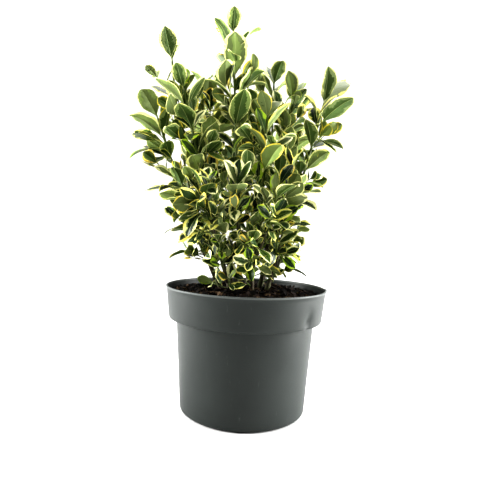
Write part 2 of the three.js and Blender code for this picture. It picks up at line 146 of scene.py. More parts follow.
# Each main stem: foot, shoot tip, pairs of leaves, their length low and high, the first pair's turn, and
# then the bare share of its line and the size of its youngest leaves where they differ from the rest.
STEMS = (
    ("leader", (-8, 6), (-31, -28, 518), 7, (48, 72), 14, 0.35, 0.44),
    ("left", (-36, -2), (-130, -24, 400), 5, (50, 68), 18, 0.36, 1),
    ("front_left", (-22, -14), (-92, -50, 432), 6, (48, 58), 90, 0.38),
    ("front_right", (7, -15), (18, -48, 400), 6, (48, 56), 45),
    ("right", (29, 0), (98, -4, 430), 4, (38, 68), 36, 0.5, 1),
    ("middle_right", (19, 4), (56, 12, 446), 6, (48, 54), 60),
    ("back_left", (-20, 19), (-74, 58, 462), 6, (48, 58), 30),
    ("back", (3, 28), (-8, 88, 480), 7, (48, 60), 8),
    ("back_right", (22, 22), (62, 72, 458), 6, (48, 58), 70),
)

# Each bough: the stem that carries it and how far up that stem's line, and then as for a stem.
BOUGHS = (
    ("top_left", "left", 0.3, (-118, 8, 490), 3, (20, 60), -4, 0.3, 0.85),
    ("mid_left", "left", 0.2, (-94, -36, 322), 4, (44, 50), 40),
    ("low_left", "left", 0.08, (-68, -24, 256), 4, (36, 42), 20),
    ("mid_front_left", "front_left", 0.22, (-60, -80, 300), 4, (44, 50), 45),
    ("low_front_left", "front_left", 0.06, (-42, -54, 246), 4, (34, 40), 0),
    ("mid_front", "leader", 0.2, (-18, -78, 304), 4, (44, 52), 0, 0.35),
    ("mid_front_right", "front_right", 0.22, (34, -76, 306), 4, (44, 50), 30),
    ("low_front", "front_right", 0.06, (4, -60, 246), 4, (34, 40), 45),
    ("top_middle", "middle_right", 0.3, (30, 34, 470), 5, (48, 58), 30, 0.45),
    ("mid_right", "right", 0.22, (54, -30, 336), 4, (44, 48), 0),
    ("low_front_right", "right", 0.13, (38, -48, 252), 4, (34, 40), 20),
    ("low_right", "right", 0.06, (58, 14, 252), 4, (32, 36), 60),
    ("mid_back_left", "back_left", 0.22, (-90, 56, 340), 5, (44, 50), 10),
    ("low_back_left", "back_left", 0.06, (-48, 50, 252), 4, (36, 42), 50),
    ("mid_back", "back", 0.22, (-34, 98, 334), 5, (44, 50), 25),
    ("low_back", "back", 0.1, (16, 82, 270), 5, (40, 46), 0),
    ("low_back_right", "back_right", 0.06, (42, 56, 252), 4, (36, 42), 15),
    ("mid_back_right", "back_right", 0.22, (54, 66, 350), 5, (44, 50), 70),
)

# Leaf pieces: each takes in the sprays that stand together.
SPRAYS = {
    "left": ("left", "top_left", "mid_left", "low_left", "front_left"),
    "front": (
        "mid_front_left",
        "low_front_left",
        "mid_front",
        "front_right",
        "mid_front_right",
        "low_front",
    ),
    "middle": ("leader", "top_middle", "middle_right", "back"),
    "right": ("right", "mid_right", "low_front_right", "low_right", "back_right", "mid_back_right"),
    "back": ("back_left", "mid_back_left", "low_back_left", "mid_back", "low_back", "low_back_right"),
}

# Finer growth than the solids': for each layer the turn from the pair of leaves below, the twigs' length
# beside the first layer's, and how far up towards the next pair they start.
FINE_LAYERS = ((0, 1, 0.1), (90, 0.8, 0.45), (45, 1.2, 0.75))

# Fine twigs in millimetres and degrees, and their leaves as a share of the shoot's.
FINE_TWIG_LENGTH = (12, 28)
FINE_TWIG_OPEN = (38, 66)
FINE_TWIG_RADIUS = (0.6, 0.95)
FINE_TWIG_TAPER = 0.62
LONGEST_TWIG = 40
FINE_LEAF = (0.66, 0.95)
FINE_LEAF_LEAST = 27
FINE_TWO_PAIRS = 24
FINE_HEIGHT = 0.69
TUFT_LEAF = (10, 18)
TUFT_TWIG = 7
TUFT_OPEN = 40

# Sprigs on the bare limbs: the span that carries them, the lengths of twig and leaf, and their angles.
SPRIG_SPAN = (0.3, 0.98)
SPRIG_LENGTH = (14, 27)
SPRIG_LEAF = (28, 40)
SPRIG_OPEN = (48, 74)
SPRIG_TURN = 137.5
FOOT_SPRIG_OPEN = 68

# Sprigs low on the stems: stem, share of its line, azimuth in degrees, twig length and leaf length.
FOOT_SPRIGS = (
    ("front_left", 0.012, -130, 26, 34),
    ("front_left", 0.03, -80, 24, 28),
    ("front_right", 0.03, -120, 20, 28),
    ("middle_right", 0.04, -40, 20, 24),
    ("back", 0.02, 90, 26, 32),
)

# Where the seeded places of each kind of finer growth begin.
FINE_PLACES = 2000000
TUFT_PLACES = 3000000
SPRIG_PLACES = 4000000
FOOT_PLACES = 5000000


class Value:
    """A socket in shader maths, so that an expression on values adds its Math nodes."""

    def __init__(self, finish, socket):
        self.finish = finish
        self.socket = socket

    def maths(self, operation, *others):
        node = self.finish.node("ShaderNodeMath", {"operation": operation}, [self, *others])
        return Value(self.finish, node.outputs[0])

    def __add__(self, other):
        return self.maths("ADD", other)

    def __radd__(self, other):
        return self.maths("ADD", other)

    def __sub__(self, other):
        return self.maths("SUBTRACT", other)

    def __rsub__(self, other):
        return (self * -1) + other

    def __mul__(self, other):
        return self.maths("MULTIPLY", other)

    def __rmul__(self, other):
        return self.maths("MULTIPLY", other)

    def between(self, low, high):
        """0 below low, 1 above high, and smooth from one to the other."""
        settings = {"interpolation_type": "SMOOTHSTEP"}
        node = self.finish.node("ShaderNodeMapRange", settings, [self, low, high])
        return Value(self.finish, node.outputs[0])


class Finish:
    """One procedural material: its nodes, and the shader that they feed."""

    def __init__(self, name, base, roughness, **constants):
        self.material = bpy.data.materials.new(name)
        self.material.use_nodes = True
        self.tree = self.material.node_tree
        self.tree.nodes.clear()
        self.shader = self.node("ShaderNodeBsdfPrincipled")
        self.material.diffuse_color = (*base, 1)
        self.set("Base Color", (*base, 1))
        self.set("Roughness", roughness)
        for socket, value in constants.items():
            self.set(socket.replace("_", " "), value)
        output = self.node("ShaderNodeOutputMaterial")
        self.tree.links.new(self.shader.outputs[0], output.inputs["Surface"])

    def node(self, kind, settings=None, inputs=()):
        """Adds a node: its settings first, and then the value or link of each socket, by name or place."""
        node = self.tree.nodes.new(kind)
        for key, value in (settings or {}).items():
            setattr(node, key, value)
        pairs = inputs.items() if isinstance(inputs, dict) else enumerate(inputs)
        for key, value in pairs:
            self.feed(node.inputs[key], value)
        return node

    def feed(self, socket, value):
        if isinstance(value, Value):
            self.tree.links.new(value.socket, socket)
        elif isinstance(value, bpy.types.NodeSocket):
            self.tree.links.new(value, socket)
        else:
            socket.default_value = value

    def set(self, socket, value):
        self.feed(self.shader.inputs[socket], value)

    def place(self):
        """Where a point lies on the object, in metres."""
        return self.node("ShaderNodeTexCoord").outputs["Object"]

    def height(self):
        """How high a point lies on the object, in metres."""
        return Value(self, self.node("ShaderNodeSeparateXYZ", {}, (self.place(),)).outputs[2])

    def stretched(self, scale):
        node = self.node("ShaderNodeMapping", {}, {"Vector": self.place(), "Scale": scale})
        return node.outputs[0]

    def noise(self, vector, scale, detail=3, roughness=0.55):
        inputs = {"Vector": vector, "Scale": scale, "Detail": detail, "Roughness": roughness}
        return Value(self, self.node("ShaderNodeTexNoise", {}, inputs).outputs[0])

    def mix(self, factor, *colours):
        """A colour between two others."""
        low, high = (c if isinstance(c, bpy.types.NodeSocket) else (*c, 1) for c in colours)
        return self.node("ShaderNodeMix", {"data_type": "RGBA"}, {0: factor, 6: low, 7: high}).outputs[2]

    def bump(self, height, distance, strength=1.0):
        inputs = {"Height": height, "Distance": distance, "Strength": strength}
        self.set("Normal", self.node("ShaderNodeBump", {}, inputs).outputs[0])


def linear(red, green, blue):
    """A colour in the shader's scale from the eight-bit one that screens show."""
    shares = (channel / 255 for channel in (red, green, blue))
    return tuple(s / 12.92 if s <= 0.04045 else ((s + 0.055) / 1.055) ** 2.4 for s in shares)


def mix(low, high, share):
    return low + (high - low) * share


def chance(place, use):
    """A steady number from 0 to 1 for a place on the plant and a use there, as in the part's source."""
    mask = np.uint64(0xFFFFFFFF)
    place = np.asarray(place, np.uint64)
    h = (place + np.uint64(1)) * np.uint64(0x9E3779B1) & mask
    h = h ^ (np.uint64(use + 1) * np.uint64(0x85EBCA6B) & mask)
    h = (h ^ (h >> np.uint64(15))) * np.uint64(0x2C1B3C6D) & mask
    h = (h ^ (h >> np.uint64(12))) * np.uint64(0x297A2D39) & mask
    h = h ^ (h >> np.uint64(15))
    return h.astype(float) / 2**32


def swing(place, use):
    return 2 * chance(place, use) - 1


def unit(vector):
    return vector / np.linalg.norm(vector, axis=-1, keepdims=True)


def across_of(w):
    """Two directions across a line that runs along w."""
    reference = np.array((1.0, 0, 0)) if abs(w[0]) < 0.8 else np.array((0, 1.0, 0))
    u = unit(reference - w * reference.dot(w))
    return u, np.cross(w, u)


def radial_of(line_frame, azimuth):
    w, u, v = line_frame
    angle = math.radians(azimuth)
    return u * math.cos(angle) + v * math.sin(angle)


class Line:
    """A curve from a foot to a tip, pulled towards one point, in millimetres."""

    def __init__(self, start, pull, tip):
        self.start = np.asarray(start, float)
        self.pull = np.asarray(pull, float)
        self.tip = np.asarray(tip, float)

    def point(self, t):
        t = np.asarray(t, float)[..., None]
        return (1 - t) ** 2 * self.start + 2 * (1 - t) * t * self.pull + t**2 * self.tip

    def tangent(self, t):
        t = np.asarray(t, float)[..., None]
        return unit((1 - t) * (self.pull - self.start) + t * (self.tip - self.pull))

    def length(self):
        points = self.point(np.linspace(0, 1, 201))
        return np.linalg.norm(np.diff(points, axis=0), axis=1).sum()

    def frame(self, t):
        w = self.tangent(t)
        return (w, *across_of(w))


def branch_line(start, tip, sweep, rise):
    start = np.asarray(start, float)
    tip = np.asarray(tip, float)
    return Line(start, mix(start, tip, np.array((sweep, sweep, rise))), tip)


class Branch:
    """One stem or bough with its leafy shoot: a single line, bare up to a share of its length."""

    def __init__(self, kind, name, line, radius, bare, pairs, leaf, turn, young):
        self.kind = kind
        self.name = name
        self.line = line
        self.radius = radius
        self.bare = bare
        self.pairs = pairs
        self.leaf = leaf
        self.turn = turn
        self.young = young

    def radius_at(self, t):
        return mix(self.radius[0], self.radius[1], t / self.bare)


def with_defaults(row, bare):
    """A row's last facts, with the usual bare share and size of the youngest leaves where it has none."""
    return (*row, *(bare, YOUNG_LEAF)[len(row) - 3 :])


def build_branches():
    branches = {}
    for name, foot, tip, *rest in STEMS:
        pairs, leaf, turn, bare, young = with_defaults(rest, STEM_BARE)
        line = branch_line((*foot, SOIL_TOP + GAP), tip, STEM_SWEEP, STEM_RISE)
        branches[name] = Branch("stem", name, line, STEM_RADIUS, bare, pairs, leaf, turn, young)
    for name, parent_name, at, tip, *rest in BOUGHS:
        pairs, leaf, turn, bare, young = with_defaults(rest, BOUGH_BARE)
        parent = branches[parent_name]
        middle = parent.line.point(at)
        first = branch_line(middle, tip, BOUGH_SWEEP, BOUGH_RISE)
        up = parent.line.tangent(at)
        slant = first.tangent(0).dot(up)
        away = unit(first.tangent(0) - up * slant)
        offset = parent.radius_at(at) + GAP + BOUGH_RADIUS[0] * slant
        line = Line(middle + away * offset, first.pull, tip)
        branches[name] = Branch("bough", name, line, BOUGH_RADIUS, bare, pairs, leaf, turn, young)
    return list(branches.values())


def distance_to_segments(points, starts, ends):
    """The distance of each point from each straight segment."""
    along = ends - starts
    offset = points[:, None] - starts[None]
    share = (offset * along).sum(-1) / np.maximum((along**2).sum(-1), 1e-12)
    share = np.clip(share, 0, 1)
    return np.linalg.norm(offset - share[..., None] * along, axis=-1)


def distance_to_blade(points, blade):
    """The distance of each point from each triangle of a blade."""
    corners = [blade[:, i] for i in range(3)]
    edges = [(corners[i], corners[(i + 1) % 3]) for i in range(3)]
    nearest = np.min([distance_to_segments(points, a, b) for a, b in edges], axis=0)
    normal = unit(np.cross(corners[1] - corners[0], corners[2] - corners[0]))
    height = ((points[:, None] - corners[0]) * normal).sum(-1)
    foot = points[:, None] - height[..., None] * normal
    inside = np.ones(height.shape, bool)
    for a, b in edges:
        inside &= (np.cross(b - a, foot - a) * normal).sum(-1) >= 0
    return np.where(inside, np.abs(height), nearest)


def any_cut(starts, ends, triangles):
    """Whether any straight segment passes through any triangle."""
    a = triangles[None, :, 0]
    edge1 = triangles[None, :, 1] - a
    edge2 = triangles[None, :, 2] - a
    direction = (ends - starts)[:, None]
    p = np.cross(direction, edge2)
    slope = (edge1 * p).sum(-1)
    apart = np.abs(slope) > 1e-12
    scale = 1 / np.where(apart, slope, 1)
    offset = starts[:, None] - a
    u = (offset * p).sum(-1) * scale
    q = np.cross(offset, edge1)
    v = (direction * q).sum(-1) * scale
    along = (edge2 * q).sum(-1) * scale
    return bool((apart & (u >= 0) & (v >= 0) & (u + v <= 1) & (along >= 0) & (along <= 1)).any())


def edges_of(triangles):
    starts = triangles.reshape(-1, 3)
    ends = np.roll(triangles, -1, axis=1).reshape(-1, 3)
    return starts, ends


class Leaf:
    """A leaf from a twig's middle along d, with its upper face towards n, that arches back from n."""

    def __init__(self, root, line_frame, azimuth, opening, length, place):
        w = line_frame[0]
        lean = math.radians(opening)
        radial = radial_of(line_frame, azimuth)
        self.d = w * math.cos(lean) + radial * math.sin(lean)
        level = w * math.sin(lean) - radial * math.cos(lean)
        twist = math.radians(LEAF_TWIST * swing(place, 5))
        self.n = level * math.cos(twist) + np.cross(self.d, level) * math.sin(twist)
        self.side = np.cross(self.d, self.n)
        self.root = root + self.d * ROOT_SUNK
        self.length = length
        self.width = length * LEAF_WIDTH * mix(0.9, 1.1, chance(place, 6))
        self.arch = math.radians(LEAF_ARCH * mix(0.4, 1.3, chance(place, 7)))
        self.place = place
        self.blade = None

    def point(self, s, across):
        forward = math.sin(self.arch * s) / self.arch
        back = (1 - math.cos(self.arch * s)) / self.arch
        return self.root + self.d * self.length * forward - self.n * self.length * back + self.side * across

    def outline(self):
        """The corners of the blade in the source: left and right at two stations, and the tip."""
        halves = [self.width * share / 2 for share in LEAF_WIDTHS]
        left = [self.point(s, half) for s, half in zip(LEAF_STATIONS, halves)]
        right = [self.point(s, -half) for s, half in zip(LEAF_STATIONS, halves)]
        return left, right, self.point(1, 0)

    def settle(self):
        """Works out the blade's triangles and the points that have to keep to the shoot's space."""
        (left, far_left), (right, far_right), tip = self.outline()
        start = self.root + self.d * ROOT_SKIP
        triangles = ((start, left, right), (left, far_left, far_right), (left, far_right, right))
        self.blade = np.array((*triangles, (far_left, tip, far_right)))
        edges = np.array(((left, far_left), (right, far_right), (far_left, tip), (far_right, tip)))
        return np.array((left, far_left, right, far_right, tip, *edges.mean(axis=1)))


class Twig:
    """A twig's curve, where it starts on it, and its radius at foot and tip."""

    def __init__(self, line, start, radius, rings, nodes=()):
        self.line = line
        self.start = start
        self.radius = radius
        self.nodes = nodes
        self.points = line.point(np.linspace(start, 1, rings))


class Crown:
    """Every shoot's twigs and leaves, by the rule of the part's source and then carried to finer twigs."""

    def __init__(self, branches, foliage):
        self.branches = branches
        self.foliage = foliage
        shares = np.linspace(0, 1, SPACE_STEPS + 1)
        lines = [b.line.point(mix(b.bare, 1, shares)) for b in branches]
        self.space_starts = np.concatenate([line[:-1] for line in lines])
        self.space_ends = np.concatenate([line[1:] for line in lines])
        self.limbs = np.concatenate([self.limb_points(b) for b in branches])
        self.box = np.array(cad_box) / MM
        self.leaves = []
        self.twigs = []
        self.all_leaves = [[] for _ in branches]
        self.all_twigs = [[] for _ in branches]

    def limb_points(self, branch):
        steps = math.ceil(branch.line.length() * branch.bare / LIMB_STEP)
        t = branch.bare * np.arange(steps + 1) / steps
        return np.column_stack((branch.line.point(t), branch.radius_at(t)))

    def keeps_in_pot(self, points):
        """Above the compost and, where low, inside the rim."""
        low = points[:, 2] < POT_HEIGHT + 2 * CLEAR
        outside = np.hypot(points[:, 0], points[:, 1]) > RIM_RADIUS - RIM_CLEAR
        return bool((points[:, 2] >= SOIL_TOP + 2 * CLEAR).all() and not (low & outside).any())

    def keeps_to_space(self, points, shoot):
        """Nearest to its own shoot's line. A sprig has no shoot and only keeps in the pot."""
        if not self.keeps_in_pot(points):
            return False
        if shoot is None:
            return True
        apart = distance_to_segments(points, self.space_starts, self.space_ends)
        apart = apart.reshape(len(points), -1, SPACE_STEPS).min(axis=2)
        own = apart[:, shoot].copy()
        apart[:, shoot] = np.inf
        return bool((own <= REACH).all() and (apart.min(axis=1) > own + CLEAR).all())

    def keeps_to_box(self, points):
        return bool((points >= self.box[0]).all() and (points <= self.box[1]).all())

    def clear_of_limbs(self, blade, centre, reach):
        near = self.limbs[np.linalg.norm(self.limbs[:, :3] - centre, axis=1) < reach]
        if not len(near):
            return True
        apart = distance_to_blade(near[:, :3], blade)
        return bool((apart > near[:, 3:] + CLEAR).all())

    def line_clear_of_limbs(self, first, points):
        """Whether the straight lines from the first point to the others pass clear of every limb."""
        apart = distance_to_segments(self.limbs[:, :3], first, points)
        return bool((apart > self.limbs[:, 3:] + CLEAR).all())

    def clear_of_own(self, leaf):
        near = [
            other.blade
            for other in self.leaves
            if np.linalg.norm(other.root - leaf.root) < other.length + leaf.length
        ]
        own_edges = edges_of(leaf.blade)
        if near:
            others = np.concatenate(near)
            if any_cut(*own_edges, others) or any_cut(*edges_of(others), leaf.blade):
                return False
        starts = np.concatenate([twig.points[:-1] for twig in self.twigs])
        ends = np.concatenate([twig.points[1:] for twig in self.twigs])
        return not any_cut(starts, ends, leaf.blade)

    def try_leaf(self, shoot, root, line_frame, azimuth, opening, length, place):
        for turn, lift, size in ATTEMPTS:
            leaf = Leaf(root, line_frame, azimuth + turn, opening - lift, length * size, place)
            checked = leaf.settle()
            if not self.keeps_to_space(checked, shoot) or not self.keeps_to_box(checked):
                continue
            middle = leaf.point(0.5, 0)
            if self.clear_of_limbs(leaf.blade, middle, leaf.length + 10) and self.clear_of_own(leaf):
                self.leaves.append(leaf)
                return

    def grow_pair(self, shoot, line, t, height, turn, length, place):
        line_frame = line.frame(t)
        root = line.point(t)
        for side_of in (0, 1):
            leaf_place = place + side_of
            azimuth = turn + 180 * side_of + TURN_JITTER * swing(leaf_place, 1)
            opening = mix(*LEAF_OPEN, height) + OPEN_JITTER * swing(leaf_place, 2)
            full = length * mix(*LEAF_SIZES, chance(leaf_place, 3))
            self.try_leaf(shoot, root, line_frame, azimuth, opening, full, leaf_place)

    def side_twig_line(self, line, t, azimuth, opening, reach_out):
        line_frame = line.frame(t)
        start = line.point(t)
        lean = math.radians(opening)
        along = line_frame[0] * math.cos(lean) + radial_of(line_frame, azimuth) * math.sin(lean)
        tip = start + along * reach_out + line_frame[0] * SIDE_TWIG_BEND * reach_out
        return Line(start, start + along * 0.55 * reach_out, tip)

    def grow_side_twig(self, shoot, line, t, azimuth, length, place):
        reach_out = mix(*SIDE_TWIG_LENGTH, chance(place, 11))
        twig = self.side_twig_line(line, t, azimuth, SIDE_TWIG_OPEN, reach_out)
        checked = twig.point(np.array((0.5, 0.75, 1)))
        if not self.keeps_to_space(checked, shoot) or not self.line_clear_of_limbs(twig.start, checked):
            return
        self.twigs.append(Twig(twig, 0, SIDE_TWIG_RADIUS, 3, (0.55,)))
        self.grow_pair(shoot, twig, 0.55, 0.4, azimuth, length * SIDE_LEAF, place + 20)
        self.grow_pair(shoot, twig, LAST_NODE, 0.85, azimuth + 90, length * TINY_LEAF, place + 30)

    def leaf_length_at(self, branch, height):
        full = mix(*branch.leaf, height)
        youth = max(0, height - YOUNG_FROM) / (1 - YOUNG_FROM)
        return full * mix(1, branch.young, youth)

    def grow_shoot(self, shoot):
        """The source's own rule for one shoot, whose twigs and leaves the solids show."""
        branch = self.branches[shoot]
        line = branch.line
        nodes = []
        for node in range(branch.pairs):
            height = (node + FIRST_NODE) / (branch.pairs + FIRST_NODE)
            t = mix(branch.bare, 1, height)
            length = self.leaf_length_at(branch, height)
            nodes.append((height, length, t, branch.turn + 90 * node, shoot * 10000 + node * 100))
        self.leaves = []
        self.twigs = [Twig(line, branch.bare, TWIG_RADIUS, SHOOT_RINGS, tuple(n[2] for n in nodes))]
        for height, length, t, turn, place in nodes:
            self.grow_pair(shoot, line, t, height, turn, length, place)
        tip_turn = branch.turn + 90 * branch.pairs
        tip_place = shoot * 10000 + 9000
        self.grow_pair(shoot, line, LAST_NODE, 1.1, tip_turn, self.leaf_length_at(branch, 1), tip_place)
        for height, length, t, turn, place in nodes:
            for side_of in (0, 1):
                twig_place = place + 40 * side_of + 10
                if height > 0.8 or chance(twig_place, 10) > SIDE_TWIG_CHANCE:
                    continue
                azimuth = turn + 180 * side_of + 20 * swing(twig_place, 12)
                self.grow_side_twig(shoot, line, t + 0.02, azimuth, length, twig_place)
        return nodes

    def fine_radius(self, reach_out):
        foot = mix(*FINE_TWIG_RADIUS, reach_out / LONGEST_TWIG)
        return foot, FINE_TWIG_TAPER * foot

    def grow_fine_twig(self, shoot, line, t, azimuth, opening, reach_out, pairs, length, place):
        """A finer twig than the solids have, with small leaves, where there is room for it."""
        twig = self.side_twig_line(line, t, azimuth, opening, reach_out)
        checked = twig.point(np.array((0.4, 0.7, 1)))
        if not self.keeps_to_box(checked) or not self.keeps_to_space(checked, shoot):
            return
        if not self.line_clear_of_limbs(twig.point(0.25), checked):
            return
        nodes = tuple((i + 1) / (pairs + 1) for i in range(pairs))
        new = Twig(twig, 0, self.fine_radius(reach_out), 4, nodes)
        blades = np.concatenate([leaf.blade for leaf in self.leaves])
        if any_cut(new.points[1:-1], new.points[2:], blades):
            return
        before = len(self.leaves)
        self.twigs.append(new)
        for i, at in enumerate(nodes):
            self.grow_pair(shoot, twig, at, 0.25, azimuth + 90 * i, length, place + 2 * i)
        self.grow_pair(shoot, twig, LAST_NODE, 0.85, azimuth + 90 * pairs, length * 0.8, place + 8)
        if len(self.leaves) == before:
            self.twigs.pop()

    def grow_finer(self, shoot, nodes):
        """Side twigs at every node and between the nodes, carried on from the source's rule."""
        branch = self.branches[shoot]
        step = (1 - branch.bare) / (branch.pairs + FIRST_NODE)
        for layer, (offset, longer, above) in enumerate(FINE_LAYERS):
            for height, length, t, turn, place in nodes:
                at = min(0.97, t + step * above)
                for side_of in (0, 1):
                    twig_place = place + FINE_PLACES + 100000 * layer + 50 * side_of
                    if height > FINE_HEIGHT or chance(twig_place, 30) > self.foliage.twig_chance:
                        continue
                    azimuth = turn + 180 * side_of + offset + 24 * swing(twig_place, 31)
                    reach_out = mix(*FINE_TWIG_LENGTH, chance(twig_place, 32)) * longer
                    opening = mix(*FINE_TWIG_OPEN, chance(twig_place, 33))
                    size = max(FINE_LEAF_LEAST, length * mix(*FINE_LEAF, chance(twig_place, 34)))
                    pairs = 2 if reach_out > FINE_TWO_PAIRS else 1
                    form = (azimuth, opening, reach_out, pairs, size)
                    self.grow_fine_twig(shoot, branch.line, at, *form, twig_place)

    def grow_sprig(self, line, t, azimuth, opening, reach_out, length, place):
        """A short leafy twig from a bare limb: it only has to keep inside the pot and clear of the limbs."""
        twig = self.side_twig_line(line, t, azimuth, opening, reach_out)
        checked = twig.point(np.array((0.4, 0.7, 1)))
        if not self.keeps_in_pot(checked) or not self.line_clear_of_limbs(twig.point(0.3), checked):
            return
        before = len(self.leaves)
        self.twigs.append(Twig(twig, 0, self.fine_radius(reach_out), 4, (0.5,)))
        self.grow_pair(None, twig, 0.5, 0.2, azimuth, length, place)
        self.grow_pair(None, twig, LAST_NODE, 0.8, azimuth + 90, length * 0.85, place + 4)
        if len(self.leaves) == before:
            self.twigs.pop()

    def grow_sprigs(self, shoot):
        """Seeded sprigs up the bare part of a limb, and the named ones at the stems' feet."""
        branch = self.branches[shoot]
        count = self.foliage.sprigs if branch.kind == "stem" else self.foliage.sprigs // 2
        for i in range(count):
            place = SPRIG_PLACES + shoot * 10000 + 100 * i
            t = branch.bare * mix(*SPRIG_SPAN, (i + chance(place, 38)) / count)
            azimuth = SPRIG_TURN * i + 50 * swing(place, 39)
            reach_out = mix(*SPRIG_LENGTH, chance(place, 47))
            length = mix(*SPRIG_LEAF, chance(place, 48))
            opening = mix(*SPRIG_OPEN, chance(place, 49))
            self.grow_sprig(branch.line, t, azimuth, opening, reach_out, length, place)
        for i, (name, t, azimuth, reach_out, length) in enumerate(FOOT_SPRIGS):
            if name == branch.name:
                place = FOOT_PLACES + 100 * i
                self.grow_sprig(branch.line, t, azimuth, FOOT_SPRIG_OPEN, reach_out, length, place)

    def grow_tufts(self, shoot, nodes):
        """A pair of very small new leaves in some of the axils."""
        line = self.branches[shoot].line
        for height, length, t, turn, place in nodes:
            for side_of in (0, 1):
                tuft_place = place + TUFT_PLACES + 50 * side_of
                if chance(tuft_place, 35) > self.foliage.tuft_chance:
                    continue
                azimuth = turn + 180 * side_of + 30 * swing(tuft_place, 36)
                size = mix(*TUFT_LEAF, chance(tuft_place, 37))
                form = (azimuth, TUFT_OPEN, TUFT_TWIG, 0, size)
                self.grow_fine_twig(shoot, line, t + 0.008, *form, tuft_place)

    def grow(self):
        for shoot in range(len(self.branches)):
            nodes = self.grow_shoot(shoot)
            self.grow_finer(shoot, nodes)
            self.grow_tufts(shoot, nodes)
            self.grow_sprigs(shoot)
            self.all_leaves[shoot] = self.leaves
            self.all_twigs[shoot] = self.twigs
        return self


# A leaf's outline: where its stalk ends, how rounded its ends are, and how deep its teeth are. Then the
# number of teeth on an edge for leaves from one length to another.
STALK_SHARE = 0.1
MATURE_WIDTH = 0.9
WIDEST = (1.0, 1.35)
TIP_ROUND = (0.66, 1.0)
BLUNT_TIP = 0.55
TOOTH_DEPTH = 0.42
TEETH = ((0, 14, 4), (14, 26, 6), (26, 40, 9), (40, 200, 12))

# Where the margin starts across a blade, how much of the tip it takes in, and its broad side on some leaves.
MARGIN = (0.54, 0.95)
TIP_YELLOW = (0.0, 0.9)
BROAD_SHARE = 0.14
BROAD_MARGIN = 0.55

# A leaf's form, in degrees or in millimetres on a leaf of the usual length.
USUAL_LENGTH = 50
LEAF_THICK = 0.17
STALK_THICK = 0.5
RIB_HALF = 0.5
FOLD = (-6, 17)
CUP = (-0.6, 1.7)
WAVE = (0.2, 1.3)
WAVES = (1.2, 3.2)
RECURVE = (-2.0, 4.5)
TIP_TURN = 12
SLANT = 0.13

# Leaves are dealt young tones from about this height in millimetres, give or take the spread.
YOUNG_HEIGHT = 330
YOUNG_SPREAD = 60

# Points round a leaf's cross-section: those of the upper side, all of them, and the ridge below the midrib.
UPPER = 8
AROUND = 15
RIDGE = 11

# Leaf tones as screens show them. The first of each group is the commonest.
TONES = {
    "core_deep": (14, 34, 12),
    "core_green": (46, 68, 26),
    "core_blue": (32, 54, 28),
    "mid_green": (86, 110, 42),
    "mid_grey": (110, 122, 78),
    "mid_pale": (138, 148, 98),
    "margin_cream": (232, 230, 178),
    "margin_lemon": (226, 220, 128),
    "margin_gold": (220, 196, 94),
    "margin_lime": (146, 172, 50),
    "under_grey": (96, 108, 68),
    "under_dark": (60, 78, 36),
    "under_blotch": (112, 128, 74),
    "under_pale": (122, 136, 88),
    "under_margin": (214, 214, 146),
    "under_gold": (218, 200, 84),
    "rib_pale": (140, 150, 96),
}
TONE_NAMES = list(TONES)


def tone(name):
    return TONE_NAMES.index(name)


# How sprays deal their tones: the core, the zone round it, the margin and the underside of each leaf.
YOUNG_TONES = {
    "core": ("core_green", "mid_grey", "core_blue", "core_green", "core_deep", "mid_green"),
    "mid": ("mid_grey", "mid_green", "mid_pale", "mid_green"),
    "margin": ("margin_lemon", "margin_cream", "margin_gold", "margin_lemon", "margin_cream", "margin_lime"),
    "under": ("under_grey", "under_dark", "under_grey", "under_dark", "under_blotch"),
    "under_mid": ("under_blotch", "under_grey", "under_pale", "under_blotch"),
    "under_edge": ("under_margin", "under_margin", "under_margin", "under_margin", "under_gold"),
}
MATURE_TONES = {
    "core": ("core_deep", "core_green", "core_deep", "core_blue", "core_green", "core_deep", "mid_grey"),
    "mid": ("mid_grey", "mid_green", "core_green", "mid_pale", "mid_grey"),
    "margin": ("margin_lemon", "margin_cream", "margin_cream", "margin_lemon", "margin_gold", "margin_lime"),
    "under": ("under_dark", "under_dark", "under_grey"),
    "under_mid": ("under_grey", "under_blotch", "under_dark"),
    "under_edge": ("under_margin", "under_margin", "under_margin", "under_gold"),
}
ZONES = ("core", "mid", "margin", "under", "under_mid", "under_edge")


def deal(names, places, use):
    """One tone of a group for each leaf."""
    picks = (chance(places, use) * len(names)).astype(int)
    return np.array([tone(name) for name in names])[picks]


def leaf_rows(teeth):
    """Shares along the midrib, and whether the edge stands out there as a tooth's point."""
    rows = [0.0, 0.5 * STALK_SHARE, STALK_SHARE]
    points = [0.0] * len(rows)
    pitch = (1 - STALK_SHARE) / teeth
    for tooth in range(teeth):
        start = STALK_SHARE + tooth * pitch
        rows.extend((start + 0.66 * pitch, start + 0.98 * pitch))
        points.extend((1.0, 0.0))
    rows[-1] = 1.0
    return np.array(rows), np.array(points)


